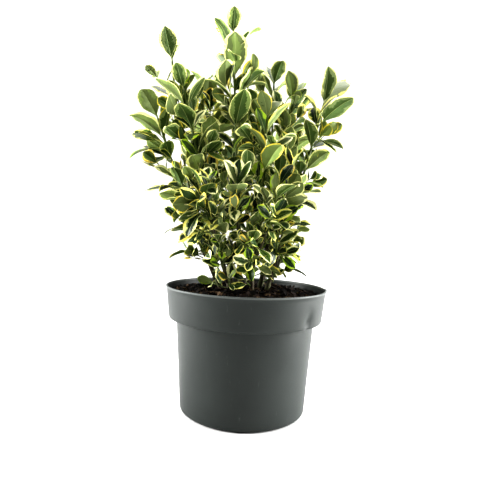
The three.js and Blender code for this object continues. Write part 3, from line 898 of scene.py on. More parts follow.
class Blades:
    """Leaves of like length as closed bodies, all worked out at once: one row of an array for each leaf."""

    def __init__(self, leaves, teeth):
        self.count = len(leaves)
        self.places = np.array([leaf.place for leaf in leaves], np.uint64)
        facts = ("root", "d", "n", "side")
        self.root, self.d, self.n, self.side = (self.gather(leaves, fact) for fact in facts)
        self.young = self.root[:, 0, 0, 2] > YOUNG_HEIGHT + YOUNG_SPREAD * swing(self.places, 56)
        self.length = np.array([leaf.length for leaf in leaves])[:, None]
        self.size = self.length / USUAL_LENGTH
        widths = np.array([leaf.width for leaf in leaves])
        self.width = (widths * np.where(self.young, 1.0, MATURE_WIDTH))[:, None]
        self.arch = np.array([leaf.arch for leaf in leaves])[:, None, None, None]
        self.s, self.tooth = leaf_rows(teeth)
        self.rows = len(self.s)
        self.u = np.clip((self.s - STALK_SHARE) / (1 - STALK_SHARE), 0, 1)[None]
        self.half = self.half_widths()
        self.rib = RIB_HALF * np.clip(self.size, 0.45, 1.1) * (1 - 0.75 * self.s) / self.half
        self.rib = np.minimum(self.rib, 0.5)
        self.across = self.shares_across()
        slant = SLANT * (1 - np.abs(self.across)) * np.sin(np.pi * self.u)[..., None]
        self.along = self.s[None, :, None] - slant
        self.along[:, 0] = 0

    def gather(self, leaves, fact):
        return np.array([getattr(leaf, fact) for leaf in leaves])[:, None, None]

    def dealt(self, limits, use, power=1.0):
        """A seeded number between the limits for each leaf."""
        return mix(*limits, chance(self.places, use) ** power)[:, None]

    def slow(self, use, every):
        """Slow random change along each leaf, from -1 to 1, with a knot every few rows."""
        knots = max(3, self.rows // every + 2)
        values = np.stack([swing(self.places + 7 * k, use) for k in range(knots)], axis=1)
        at = np.linspace(0, knots - 1.001, self.rows)
        low = at.astype(int)
        share = at - low
        return values[:, low] * (1 - share) + values[:, low + 1] * share

    def half_widths(self):
        """Half the width along the leaf: a thin stalk, then a blade that is widest above its middle."""
        u = self.u
        v = u ** self.dealt(WIDEST, 20)
        lower = (1 - np.abs(2 * v - 1) ** 2.2) ** 1.15
        upper = (1 - np.abs(2 * v - 1) ** 2.4) ** self.dealt(TIP_ROUND, 21)
        wobble = 1 + 0.04 * self.slow(22, 5)
        teeth = TOOTH_DEPTH * self.tooth * (u > 0.2) * np.clip(self.length / 45, 0.4, 1)
        half = self.width / 2 * np.where(v < 0.5, lower, upper) * wobble + teeth
        stalk = PETIOLE_WIDTH * 0.62 * np.clip(self.length / 40, 0.5, 1.1)
        stalk = stalk * (1 - 0.1 * self.s / STALK_SHARE * (u <= 0))
        return np.maximum(half, np.where(u < 0.5, stalk, BLUNT_TIP))

    def zones(self):
        """Shares across to the margin and to the core, apart for the left and right halves."""
        toward_tip = np.clip((self.u - 0.55) / 0.45, 0, 1) ** 2
        tip_yellow = self.dealt(TIP_YELLOW, 24, 1.6)
        margin = self.dealt(MARGIN, 23, 0.55)
        broad_side = np.floor(chance(self.places, 27) / BROAD_SHARE)
        zones = []
        for which, use in enumerate((25, 26)):
            notch = np.clip(self.slow(use + 10, 3) - 0.35, 0, 1) * 0.55
            jag = 0.07 * np.stack([swing(self.places + 11 * r, use + 14) for r in range(self.rows)], axis=1)
            edge = margin + 0.17 * self.slow(use, 4) + jag - notch
            broad = np.where(broad_side == which, BROAD_MARGIN, 1.0)[:, None]
            edge = edge * (1 - toward_tip * tip_yellow) * mix(1.0, broad, np.clip(self.u * 2, 0, 1))
            edge = np.clip(edge, self.rib + 0.12, 0.965)
            inner = edge * (0.72 + 0.24 * self.slow(use + 4, 3) + 0.1 * (self.tooth[None] - 0.5))
            zones.append((edge, np.clip(inner, self.rib + 0.05, edge - 0.05)))
        return zones

    def shares_across(self):
        """Where each point of a cross-section lies, from 1 at the left edge to -1 at the right one."""
        rib = self.rib
        one = np.ones((self.count, self.rows))
        halves = []
        for edge, inner in self.zones():
            under = np.clip(mix(edge, 0.95, 0.55), rib + 0.1, 0.965)
            below = np.clip(inner, rib + 0.06, under - 0.05)
            halves.append((edge, inner, under, below))
        (edge_l, inner_l, under_l, below_l), (edge_r, inner_r, under_r, below_r) = halves
        top = (one, edge_l, inner_l, rib, -rib, -inner_r, -edge_r, -one)
        bottom = (under_l, below_l, rib, 0 * one, -rib, -below_r, -under_r)
        return np.stack((*top, *bottom), axis=2)

    def lift(self, fold, in_blade):
        """How far each point stands off the flat leaf: fold, cup, waves, thickness, midrib and tip."""
        across = self.across
        along = self.along
        size = self.size[..., None]
        out = across * self.half[..., None]
        cup = self.dealt(CUP, 41)[..., None] * size
        wave = self.dealt(WAVE, 42)[..., None] * size
        waves = self.dealt(WAVES, 43)[..., None]
        phase = 2 * np.pi * chance(self.places, 44)[:, None, None]
        recurve = self.dealt(RECURVE, 46)[..., None] * size
        lift = np.abs(out) * np.sin(fold) * in_blade + cup * across**2 * in_blade
        ripple = np.sin(2 * np.pi * waves * along + phase + 2 * np.sign(across))
        lift = lift + wave * across**2 * ripple * in_blade
        lift = lift - recurve * np.clip((along - 0.62) / 0.38, 0, 1) ** 2
        thick = mix(STALK_THICK, LEAF_THICK, np.clip(self.u * 5, 0, 1))[..., None] * size**0.5
        crown = np.sqrt(np.clip(1 - np.abs(across) ** 2.5, 0, 1)) * thick
        groove = np.zeros(across.shape)
        groove[:, :, 3:5] = -0.35 * LEAF_THICK
        groove[:, :, RIDGE] = -1.3 * RIB_HALF * (1 - 0.7 * self.s)
        return lift + np.where(np.arange(AROUND) < UPPER, crown, -crown) + groove

    def points(self):
        """The points in place: the leaf arches along its length and turns a little towards its tip."""
        in_blade = np.clip(self.u * 6, 0, 1)[..., None]
        fold = np.radians(self.dealt(FOLD, 40))[..., None]
        lift = self.lift(fold, in_blade)
        out = self.across * self.half[..., None]
        turn = (np.radians(TIP_TURN * swing(self.places, 45))[:, None, None] * self.along)[..., None]
        bend = self.arch * self.along[..., None]
        face = self.n * np.cos(bend) + self.d * np.sin(bend)
        ahead = self.d * np.sin(bend) / self.arch - self.n * (1 - np.cos(bend)) / self.arch
        sideways = self.side * np.cos(turn) + face * np.sin(turn)
        outward = face * np.cos(turn) - self.side * np.sin(turn)
        narrow = np.where(in_blade > 0, np.cos(fold), 1.0)
        points = self.root + ahead * self.length[..., None, None]
        return points + sideways * (out * narrow)[..., None] + outward * lift[..., None]

    def faces(self):
        """Quads between the rows, round the upper side and back below, and a cap at each end."""
        loop = np.concatenate((np.arange(UPPER), np.arange(AROUND - 1, UPPER - 1, -1)))
        ahead_of = np.roll(loop, -1)
        base = (np.arange(self.rows - 1) * AROUND)[:, None]
        corners = (base + ahead_of, base + loop, base + loop + AROUND, base + ahead_of + AROUND)
        starts = np.arange(self.count) * self.rows * AROUND
        quads = (np.stack(corners, axis=2)[None] + starts[:, None, None, None]).reshape(-1, 4)
        first = starts[:, None] + loop
        last = first[:, ::-1] + (self.rows - 1) * AROUND
        return quads, np.concatenate((first, last))

    def tones(self):
        """One tone for each strip of the loop, with stalk and tip apart, and then for the caps."""
        zone = {
            name: np.where(
                self.young,
                deal(YOUNG_TONES[name], self.places, use),
                deal(MATURE_TONES[name], self.places, use),
            )
            for use, name in enumerate(ZONES, 100)
        }
        rib = np.full(self.count, tone("rib_pale"))
        upper_rib = np.where(chance(self.places, 54) < 0.5, rib, zone["mid"])
        above = [zone["margin"], zone["mid"], zone["core"]]
        below = [zone["under_edge"], zone["under_mid"], zone["under"], rib]
        strips = np.stack([*above, upper_rib, *above[::-1], *below, *below[::-1]], axis=1)
        tones = np.repeat(strips[:, None], self.rows - 1, axis=1)
        tones[:, :2] = rib[:, None, None]
        all_yellow = chance(self.places, 55) < 0.5
        tones[:, -1, 1:6] = np.where(all_yellow[:, None], zone["margin"][:, None], tones[:, -1, 1:6])
        return np.concatenate((tones.reshape(-1), rib, zone["margin"]))

    def add_to(self, mesh):
        shares = np.stack((0.5 + 0.5 * self.across, self.along), axis=3)
        marks = np.zeros(self.across.shape, np.int8)
        marks[:, :, 0] = 1
        marks[:, :, UPPER - 1] = 2
        points = self.points().reshape(-1, 3)
        mesh.add(points, self.faces(), self.tones(), shares.reshape(-1, 2), marks.reshape(-1))


class Mesh:
    """Gathers points and faces in millimetres, and makes one object of them."""

    def __init__(self):
        self.points = []
        self.faces = []
        self.tones = []
        self.shares = []
        self.marks = []
        self.count = 0

    def add(self, points, faces, tones=0, shares=None, marks=None):
        """Adds a body. Faces are arrays with one row a face, and tones one number or one for each face."""
        points = np.asarray(points, float)
        for face_set in faces:
            self.faces.append(np.asarray(face_set) + self.count)
        total = sum(len(face_set) for face_set in faces)
        self.tones.append(np.broadcast_to(tones, total))
        self.points.append(points)
        self.shares.append(np.zeros((len(points), 2)) if shares is None else shares)
        self.marks.append(np.zeros(len(points), np.int8) if marks is None else marks)
        self.count += len(points)

    def build(self, name, materials, replaces, sharp_angle=None):
        points = np.concatenate(self.points) * MM
        loops = np.concatenate([face_set.reshape(-1) for face_set in self.faces])
        sizes = np.concatenate([np.full(len(f), f.shape[1]) for f in self.faces])
        starts = np.concatenate(([0], np.cumsum(sizes)[:-1]))
        mesh = bpy.data.meshes.new(name)
        mesh.vertices.add(len(points))
        mesh.vertices.foreach_set("co", points.astype(np.float32).reshape(-1))
        mesh.loops.add(len(loops))
        mesh.loops.foreach_set("vertex_index", loops.astype(np.int32))
        mesh.polygons.add(len(sizes))
        mesh.polygons.foreach_set("loop_start", starts.astype(np.int32))
        for material in materials:
            mesh.materials.append(material)
        mesh.polygons.foreach_set("material_index", np.concatenate(self.tones).astype(np.int32))
        mesh.update(calc_edges=True)
        layer = mesh.uv_layers.new(name="along")
        shares = np.concatenate(self.shares)[loops]
        layer.data.foreach_set("uv", shares.astype(np.float32).reshape(-1))
        mesh.shade_smooth()
        if sharp_angle is not None:
            mesh.set_sharp_from_angle(angle=math.radians(sharp_angle))
        marks = np.concatenate(self.marks)
        if marks.any():
            self.mark_edges(mesh, marks)
        mesh.validate()
        made = bpy.data.objects.new(name, mesh)
        bpy.context.scene.collection.objects.link(made)
        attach(made, "root")
        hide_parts(*replaces)
        return made

    def mark_edges(self, mesh, marks):
        ends = np.empty(len(mesh.edges) * 2, np.int32)
        mesh.edges.foreach_get("vertices", ends)
        ends = ends.reshape(-1, 2)
        sharp = (marks[ends[:, 0]] == marks[ends[:, 1]]) & (marks[ends[:, 0]] > 0)
        attribute = mesh.attributes.get("sharp_edge") or mesh.attributes.new("sharp_edge", "BOOLEAN", "EDGE")
        attribute.data.foreach_set("value", sharp)


def ring_faces(rings, sides):
    """Quads between rings of points, and triangles at each end to the two points that follow the rings."""
    a = np.arange(sides)
    b = np.roll(a, -1)
    base = (np.arange(rings - 1) * sides)[:, None]
    quads = np.stack((base + a, base + b, base + b + sides, base + a + sides), axis=2).reshape(-1, 4)
    last = rings * sides
    foot = np.stack((b, a, np.full(sides, last)), axis=1)
    top = np.stack((last - sides + a, last - sides + b, np.full(sides, last + 1)), axis=1)
    return quads, np.concatenate((foot, top))


def tube(centres, tangents, radii, sides, relief=1.0):
    """A closed tube round a line of centres. relief scales the radius at each point."""
    u, v = np.split(np.array([across_of(w) for w in tangents]), 2, axis=1)
    angles = 2 * np.pi * np.arange(sides) / sides
    ring = u * np.cos(angles)[:, None] + v * np.sin(angles)[:, None]
    reach = radii[:, None] * relief
    points = (centres[:, None] + ring * reach[..., None]).reshape(-1, 3)
    return np.concatenate((points, centres[:1], centres[-1:])), ring_faces(len(centres), sides)


# Twigs in millimetres: ring pitch, share over which the main twig thins from its limb, and a node's length.
TWIG_RING = 4.0
LEAD_SHARE = 0.16
NODE_LENGTH = 2.6


def twig_tube(twig, swell, lead_radius=None):
    """A twig's tube, which swells at its nodes, and starts as thick as the limb that it grows on from."""
    length = twig.line.length() * (1 - twig.start)
    rings = max(5, int(length / TWIG_RING))
    t = np.linspace(twig.start, 1, rings)
    share = np.linspace(0, 1, rings)
    radii = mix(twig.radius[0], twig.radius[1], share)
    if lead_radius is not None:
        radii = np.maximum(radii, mix(lead_radius, twig.radius[0], np.clip(share / LEAD_SHARE, 0, 1)))
    for node in twig.nodes:
        away = (t - node) * length / (1 - twig.start) / NODE_LENGTH
        radii = radii * (1 + swell * np.exp(-(away**2)))
    radii[-1] *= 0.7
    sides = 7 if lead_radius is not None else 6
    return tube(twig.line.point(t), twig.line.tangent(t), radii, sides)


def bud(twig):
    """The pointed bud at a twig's tip, in heights and widths that follow the twig's radius."""
    w = twig.line.tangent(1.0)
    heights = np.array((-0.6, 0.6, 1.9, 3.2, 4.3)) / TWIG_RADIUS[1]
    widths = np.array((0.5, 1.0, 1.05, 0.7, 0.15)) * twig.radius[1] * 1.35
    centres = twig.line.tip + heights[:, None] * w * twig.radius[1]
    return tube(centres, np.repeat(w[None], len(heights), axis=0), widths, 6)


# Stems and bark in millimetres: rings, the swelling and sunk end at a limb's foot, leaf scars and relief.
LIMB_RING = 2.4
LIMB_SIDES = 16
STEM_FLARE_LENGTH = 7
BOUGH_FLARE = 1.5
BOUGH_FLARE_LENGTH = 2.2
STEM_SUNK = 2.5
BOUGH_SUNK = 2.0
SCAR_PITCH = 17.0
SCAR_HALF = 1.3
BARK_RELIEF = 0.055
LIMB_PLACES = 4000


def limb_tube(branch, number):
    """A bare stem or bough with the four low ridges of a young shoot, rough bark and old leaf scars."""
    length = branch.line.length() * branch.bare
    rings = int(length / LIMB_RING)
    share = np.linspace(0, 1, rings)
    t = branch.bare * share
    centres = branch.line.point(t)
    radii = branch.radius_at(t)
    tangents = branch.line.tangent(t)
    from_foot = length * share
    if branch.kind == "stem":
        radii = radii * (1 + (FOOT_FLARE - 1) * np.exp(-from_foot / STEM_FLARE_LENGTH))
        centres[0, 2] -= STEM_SUNK
    else:
        radii = radii * (1 + (BOUGH_FLARE - 1) * np.exp(-from_foot / BOUGH_FLARE_LENGTH))
        centres[0] -= tangents[0] * BOUGH_SUNK
    angles = 2 * np.pi * np.arange(LIMB_SIDES) / LIMB_SIDES
    ridge = np.cos(4 * angles + chance(number, 60) * 6)[None] * 0.6
    cells = np.arange(rings)[:, None] * 31 + np.arange(LIMB_SIDES) * 7 + number * 1009
    cells = cells.astype(np.uint64)
    rough = swing(cells // np.uint64(3), 61) + swing(cells, 62)
    relief = 1 + BARK_RELIEF * (ridge + 0.5 * rough)
    scars = np.arange(SCAR_PITCH * mix(0.4, 0.8, chance(number, 63)), length, SCAR_PITCH)
    for i, scar in enumerate(scars):
        band = np.exp(-(((from_foot - scar) / SCAR_HALF) ** 2))[:, None]
        about = angles + i * np.pi / 2 + chance(number, 64) * 6
        relief = relief + band * (0.1 + 0.16 * np.cos(about) ** 2)[None]
    return tube(centres, tangents, radii, LIMB_SIDES, relief)


def leaf_materials(colours):
    made = []
    for name, tone_colour in TONES.items():
        below = name.startswith("under")
        base = tuple(np.clip(np.array(linear(*tone_colour)) * colours.leaf_brightness, 0, 1))
        roughness = colours.under_roughness if below else colours.leaf_roughness
        finish = Finish(f"leaf_{name}", base, roughness, Specular_IOR_Level=0.15 if below else 0.24)
        layer = finish.node("ShaderNodeUVMap", {"uv_map": "along"})
        parts = finish.node("ShaderNodeSeparateXYZ", {}, [layer.outputs[0]])
        across = Value(finish, parts.outputs[0])
        along = Value(finish, parts.outputs[1])
        out = (across - 0.5).maths("ABSOLUTE")
        ribs = ((along * 8 - out * 5.5).maths("FRACT") - 0.5).maths("ABSOLUTE")
        veins = ribs.between(0.0, 0.16)
        grain = finish.noise(finish.place(), 900, 2)
        height = veins * (-0.45 if below else 0.45) + grain * 0.35
        finish.bump(height, 0.00035, 0.6)
        finish.set("Roughness", grain * 0.16 + (roughness - 0.08))
        made.append(finish.material)
    return made


def twig_materials(colours):
    made = []
    for name, young, old in (
        ("twig_green", colours.twig_green, colours.twig_olive),
        ("twig_brown", colours.twig_olive, colours.bark_brown),
    ):
        finish = Finish(name, young, 0.5)
        streaks = finish.noise(finish.stretched((1, 1, 0.12)), 900, 4)
        patches = finish.noise(finish.place(), 90, 3)
        base = finish.mix((streaks * 0.5 + patches * 0.5).between(0.38, 0.66), young, old)
        finish.set("Base Color", base)
        finish.set("Roughness", streaks * 0.2 + 0.42)
        finish.bump(streaks, 0.0004, 0.7)
        made.append(finish.material)
    return made


def bark_material(colours):
    finish = Finish("stem_bark", colours.bark_brown, 0.75)
    streaks = finish.noise(finish.stretched((1, 1, 0.1)), 1100, 5, 0.6)
    patches = finish.noise(finish.place(), 60, 4)
    flecks = finish.noise(finish.stretched((1, 1, 0.4)), 1500, 2)
    olive = finish.mix(patches.between(0.4, 0.62), colours.bark_brown, colours.twig_olive)
    worn = finish.mix(streaks.between(0.45, 0.7) * 0.7, olive, colours.bark_grey)
    pored = finish.mix(flecks.between(0.66, 0.74) * 0.6, worn, colours.bark_pale)
    finish.set("Base Color", pored)
    finish.set("Roughness", streaks * 0.25 + 0.62)
    finish.bump(streaks * 0.8 + flecks.between(0.66, 0.74) * 0.5, 0.0006)
    return finish.material


def pot_material(colours):
    finish = Finish("pot_plastic", colours.pot_grey, 0.5, Specular_IOR_Level=0.22)
    clouds = finish.noise(finish.place(), 9, 4)
    flow = finish.noise(finish.stretched((1, 1, 7)), 26, 3)
    grain = finish.noise(finish.place(), 1400, 2)
    scuffs = finish.noise(finish.stretched((1, 1, 0.25)), 160, 5, 0.7)
    tinted = finish.mix(clouds.between(0.35, 0.68), colours.pot_grey, colours.pot_light)
    dusted = finish.mix(scuffs.between(0.62, 0.8) * 0.35, tinted, colours.pot_dust)
    # Painted highlight: the top of the rolled lip, and the inner wall just below it, is mixed towards a
    # lighter grey that stands in for the light the lip catches from above.
    rim = finish.height().between((POT_HEIGHT - LIP - 0.6) * MM, (POT_HEIGHT - LIP + 0.6) * MM)
    finish.set("Base Color", finish.mix(rim * 0.85, dusted, colours.pot_lip_highlight))
    finish.set("Roughness", clouds * 0.16 + grain * 0.12 + scuffs.between(0.6, 0.8) * 0.1 + 0.3)
    finish.bump(grain * 0.35 + flow * 0.5 + scuffs.between(0.6, 0.8) * 0.25, 0.00022)
    return finish.material


def compost_materials(colours):
    crumbs = Finish("compost_crumbs", colours.compost_dark, 0.95, Specular_IOR_Level=0.12)
    patches = crumbs.noise(crumbs.place(), 70, 5, 0.65)
    grains = crumbs.noise(crumbs.place(), 520, 4, 0.6)
    mixed = crumbs.mix(patches.between(0.38, 0.62), colours.compost_dark, colours.compost_brown)
    crumbs.set("Base Color", crumbs.mix(grains.between(0.5, 0.75) * 0.6, mixed, colours.compost_red))
    crumbs.set("Roughness", grains * 0.2 + 0.78)
    crumbs.bump(grains, 0.0016)
    made = [crumbs.material]
    for name, low, high in (
        ("compost_chip", colours.compost_brown, colours.compost_red),
        ("compost_fibre", colours.compost_red, colours.compost_tan),
        ("compost_black", colours.compost_dark, colours.compost_brown),
    ):
        finish = Finish(name, low, 0.85, Specular_IOR_Level=0.15)
        streaks = finish.noise(finish.stretched((1, 0.3, 1)), 700, 4)
        finish.set("Base Color", finish.mix(streaks.between(0.35, 0.65), low, high))
        finish.set("Roughness", streaks * 0.25 + 0.68)
        finish.bump(streaks, 0.0005)
        made.append(finish.material)
    return made


# The pot in millimetres: how finely it is cut, and how its edges are rounded.
POT_SIDES = 192
POT_STEP = 4.0
FOOT_CURVE = 5.4
STEP_CURVE = 2.4
LEDGE_CURVE = 3.4
LIP_CURVE = 1.2
LIP_INNER_CURVE = 0.7
LEDGE_INNER_CURVE = 3.0

# Dents in the collar: azimuth in degrees, and height, half width and half height in millimetres.
KNOCK = (-42.0, COLLAR_FOOT + 9, 9.0, 13.0)
CREASE = (-42.0, COLLAR_FOOT + 5, 3.6, 9.0)
PINCH = (-6.0, POT_HEIGHT, 7.0, 7.0)
KNOCK_DEPTH = 3.0
CREASE_DEPTH = 1.0
PINCH_RISE = 1.2
PINCH_OUT = 0.6


def rounded(profile, spacing):
    """The profile with each straight run cut into steps no longer than spacing."""
    points = []
    for (r0, z0), (r1, z1) in zip(profile[:-1], profile[1:]):
        steps = max(1, math.ceil(math.hypot(r1 - r0, z1 - z0) / spacing))
        for i in range(steps):
            points.append((mix(r0, r1, i / steps), mix(z0, z1, i / steps)))
    points.append(profile[-1])
    return np.array(points)


def arc(centre, radius, start, end, steps):
    """Points on a round edge, from one angle to another, in degrees."""
    angles = np.radians(np.linspace(start, end, steps))
    return [(centre[0] + radius * math.cos(a), centre[1] + radius * math.sin(a)) for a in angles]


def pot_profile():
    """The pot's wall as radius and height, from the middle of its underside out, up and back down inside."""
    outside = [(0.0, 0.0)]
    outside += arc((FOOT_RADIUS - FOOT_CURVE, FOOT_CURVE), FOOT_CURVE, -90, -8, 8)
    outside += [(BODY_TOP_RADIUS - 0.5, COLLAR_FOOT - 5.0)]
    outside += arc((BODY_TOP_RADIUS + 2.0, COLLAR_FOOT - 4.2), STEP_CURVE, 176, 100, 5)
    outside += arc((COLLAR_FOOT_RADIUS - LEDGE_CURVE, COLLAR_FOOT + 1.9), LEDGE_CURVE, -90, -6, 8)
    outside += [(RIM_RADIUS - 1.5, POT_HEIGHT - LIP - 1.6)]
    outside += arc((RIM_RADIUS - LIP_CURVE, POT_HEIGHT - LIP_CURVE), LIP_CURVE, -60, 90, 9)
    inside = arc((RIM_RADIUS - LIP + 0.6, POT_HEIGHT - LIP_INNER_CURVE), LIP_INNER_CURVE, 90, 180, 4)
    inside += [(RIM_RADIUS - LIP, POT_HEIGHT - LIP - EDGE_ROUND)]
    ledge = (COLLAR_FOOT_RADIUS - WALL - LEDGE_INNER_CURVE, COLLAR_FOOT + LEDGE_INNER_CURVE)
    inside += arc(ledge, LEDGE_INNER_CURVE, 0, -90, 6)
    inside += [(BODY_TOP_RADIUS - WALL, COLLAR_FOOT)]
    inside += [(FOOT_RADIUS - WALL, FOOT_ROUND + WALL), (FOOT_RADIUS - 2 * WALL, WALL), (0.0, WALL)]
    return outside + inside


def dent(points, azimuth, height, half_width, half_height):
    """1 in the middle of a dent in the pot's side, and from there smoothly down to 0."""
    angle = np.degrees(np.arctan2(points[:, 1], points[:, 0]))
    along = np.radians((angle - azimuth + 180) % 360 - 180) * RIM_RADIUS
    return np.exp(-((along / half_width) ** 2) - ((points[:, 2] - height) / half_height) ** 2)


def knock(points):
    """Pushes in the collar where it was knocked, with a short upright crease, and pinches up the rim."""
    radius = np.hypot(points[:, 0], points[:, 1])
    on_collar = np.clip((radius - BODY_TOP_RADIUS - 4) / 5, 0, 1)
    push = KNOCK_DEPTH * dent(points, *KNOCK) + CREASE_DEPTH * dent(points, *CREASE)
    pinch = PINCH_RISE * dent(points, *PINCH)
    points[:, :2] *= (1 - on_collar * (push - PINCH_OUT * pinch) / np.maximum(radius, 1))[:, None]
    points[:, 2] += pinch * on_collar
    return points


def lathe(profile, sides):
    """A closed body turned round the upright axis. The profile starts and ends on that axis."""
    angles = 2 * np.pi * np.arange(sides) / sides
    ring = np.stack((np.cos(angles), np.sin(angles)), axis=1)
    rings = [np.column_stack((ring * radius, np.full(sides, height))) for radius, height in profile[1:-1]]
    ends = ((0, 0, profile[0][1]), (0, 0, profile[-1][1]))
    return np.concatenate((*rings, ends)), ring_faces(len(rings), sides)


# Lumps in the compost: how far apart and how high, in millimetres.
LUMPS = ((17.0, 1.5), (8.0, 1.1), (3.6, 0.7))


def clods(points):
    """Lumpy height for the compost from a few sizes of seeded lumps."""
    total = np.zeros(len(points))
    for i, (pitch, height) in enumerate(LUMPS):
        cell = points[:, :2] / pitch
        base = np.floor(cell).astype(int)
        share = cell - base
        share = share * share * (3 - 2 * share)
        corners = []
        for dx in (0, 1):
            for dy in (0, 1):
                key = (base[:, 0] + dx + 500) * 1009 + (base[:, 1] + dy + 500) + i * 4000037
                corners.append(swing(key, 90))
        low = mix(corners[0], corners[1], share[:, 1])
        high = mix(corners[2], corners[3], share[:, 1])
        total += height * mix(low, high, share[:, 0])
    return total


def soil_height(radius):
    edge = RIM_RADIUS - LIP - 1.6
    share = np.clip((radius - PLATEAU_RADIUS) / (edge - PLATEAU_RADIUS), 0, 1)
    return SOIL_TOP - MOUND_RISE * share**1.3


def turned(points, places, uses):
    """Turns small pieces about their own middles, each its own way."""
    yaw = 2 * np.pi * chance(places, uses)
    tilt = 0.7 * swing(places, uses + 1)
    roll = 0.9 * swing(places, uses + 2)
    x = np.stack((np.cos(yaw) * np.cos(tilt), np.sin(yaw) * np.cos(tilt), np.sin(tilt)), axis=1)
    level = np.stack((-np.sin(yaw), np.cos(yaw), 0 * yaw), axis=1)
    z = np.cross(x, level)
    y = level * np.cos(roll)[:, None] + z * np.sin(roll)[:, None]
    z = np.cross(x, y)
    return points[..., :1] * x[:, None] + points[..., 1:2] * y[:, None] + points[..., 2:] * z[:, None]


def scatter(count, use, reach):
    """Seeded places over a disc, evenly dealt."""
    places = np.arange(count, dtype=np.uint64) + np.uint64(use * 100000)
    radius = reach * np.sqrt(chance(places, use))
    angle = 2 * np.pi * chance(places, use + 1)
    return places, np.stack((radius * np.cos(angle), radius * np.sin(angle)), axis=1)


# A rough block for a chip: its lower and upper corners and its faces, and the sizes of chips.
CHIP_FOOT = ((-1, -1, -1), (1, -0.8, -1), (1, 0.9, -1), (-0.9, 1, -1))
CHIP_TOP = ((-0.8, -0.7, 1), (0.9, -0.9, 1), (0.7, 0.8, 1), (-1, 0.8, 1))
CHIP_BOX = np.array((*CHIP_FOOT, *CHIP_TOP))
CHIP_FACES = np.array(((0, 3, 2, 1), (4, 5, 6, 7), (0, 1, 5, 4), (1, 2, 6, 5), (2, 3, 7, 6), (3, 0, 4, 7)))
CHIP_SIZE = (0.8, 6.5)
FIBRE_LENGTH = (7, 26)


def add_chips(mesh, count):
    """Bark chips and crumbs that lie on the compost."""
    places, spots = scatter(count, 70, RIM_RADIUS - 11)
    size = mix(*CHIP_SIZE, chance(places, 72) ** 3)
    width = size * mix(0.35, 0.8, chance(places, 73))
    thick = size * mix(0.15, 0.45, chance(places, 74))
    jitter = [[swing(places + 13 * k, 75 + axis) for axis in range(3)] for k in range(8)]
    box = CHIP_BOX[None] + 0.35 * np.transpose(jitter, (2, 0, 1))
    box = turned(box * np.stack((size, width, thick), 1)[:, None], places, 78)
    centres = np.column_stack((spots, soil_height(np.hypot(*spots.T)) + size * 0.12))
    centres[:, 2] += clods(centres) * 0.8
    points = box + centres[:, None]
    faces = (CHIP_FACES[None] + 8 * np.arange(count)[:, None, None]).reshape(-1, 4)
    tones = np.where(chance(places, 82) < 0.55, 3, np.where(chance(places, 83) < 0.6, 1, 2))
    mesh.add(points.reshape(-1, 3), (faces,), np.repeat(tones, len(CHIP_FACES)))


def add_fibres(mesh, count):
    """Bent fibres of coir and shredded bark."""
    places, spots = scatter(count, 84, RIM_RADIUS - 12)
    for i in range(count):
        place = int(places[i])
        length = mix(*FIBRE_LENGTH, chance(place, 86) ** 1.5)
        heading = 2 * math.pi * chance(place, 87)
        bend = 1.6 * swing(place, 88)
        along = np.linspace(-0.5, 0.5, 7)
        turn = heading + bend * along
        steps = np.stack((np.cos(turn), np.sin(turn)), axis=1) * length / 6
        flat = spots[i] + np.cumsum(steps, axis=0) - steps.sum(0) / 2
        rise = mix(0.4, 3.2, chance(place, 89) ** 2)
        radius = np.hypot(*flat.T)
        if radius.max() > RIM_RADIUS - 9:
            continue
        height = soil_height(radius) + clods(flat) + 0.5 + rise * (1 - 4 * along**2) * 0.7
        centres = np.column_stack((flat, height))
        tangents = unit(np.gradient(centres, axis=0))
        thick = mix(0.22, 0.7, chance(place, 92) ** 2) * (1 - 0.5 * np.abs(2 * along))
        points, faces = tube(centres, tangents, thick, 4)
        mesh.add(points, faces, 2 if chance(place, 93) < 0.6 else 1)


def share_property(name, description, default):
    return FloatProperty(name=name, description=description, default=default, min=0, max=1, subtype="FACTOR")


def strength_property(name, description, default):
    return FloatProperty(name=name, description=description, default=default, min=0)


def length_property(name, description, default):
    return FloatProperty(name=name, description=description, default=default, min=0.02, unit="LENGTH")


def angle_property(name, description, degrees):
    return FloatProperty(name=name, description=description, default=math.radians(degrees), subtype="ANGLE")


def count_property(name, description, default):
    return IntProperty(name=name, description=description, default=default, min=0)


def colour_property(name, description, *screen):
    """A colour given as screens show it, with channels from 0 to 255."""
    return FloatVectorProperty(
        name=name, description=description, default=linear(*screen), min=0, max=1, subtype="COLOR"
    )


class PotSettings(bpy.types.PropertyGroup):
    """Sizes of the pot and the compost in it."""

    rim_radius: length_property("Rim radius", "Outer radius of the pot's rim", pot_high.x)
    height: length_property("Pot height", "Height of the pot's rim above its underside", pot_high.z)
    chips: count_property("Bark chips", "Chips and crumbs that lie on the compost", 2200)
    fibres: count_property("Fibres", "Loose fibres that lie on the compost", 680)


class FoliageSettings(bpy.types.PropertyGroup):
    """How full the crown is, beyond what the solids show."""

    twig_chance: share_property("Fine twigs", "Share of the places for a fine twig that carry one", 0.76)
    tuft_chance: share_property("New tufts", "Share of the axils with a pair of very small new leaves", 0.3)
    sprigs: count_property("Sprigs", "Short leafy twigs on each bare stem; a bough has half as many", 3)
    node_swell: share_property("Node swelling", "How much thicker a twig is where leaves join it", 0.35)


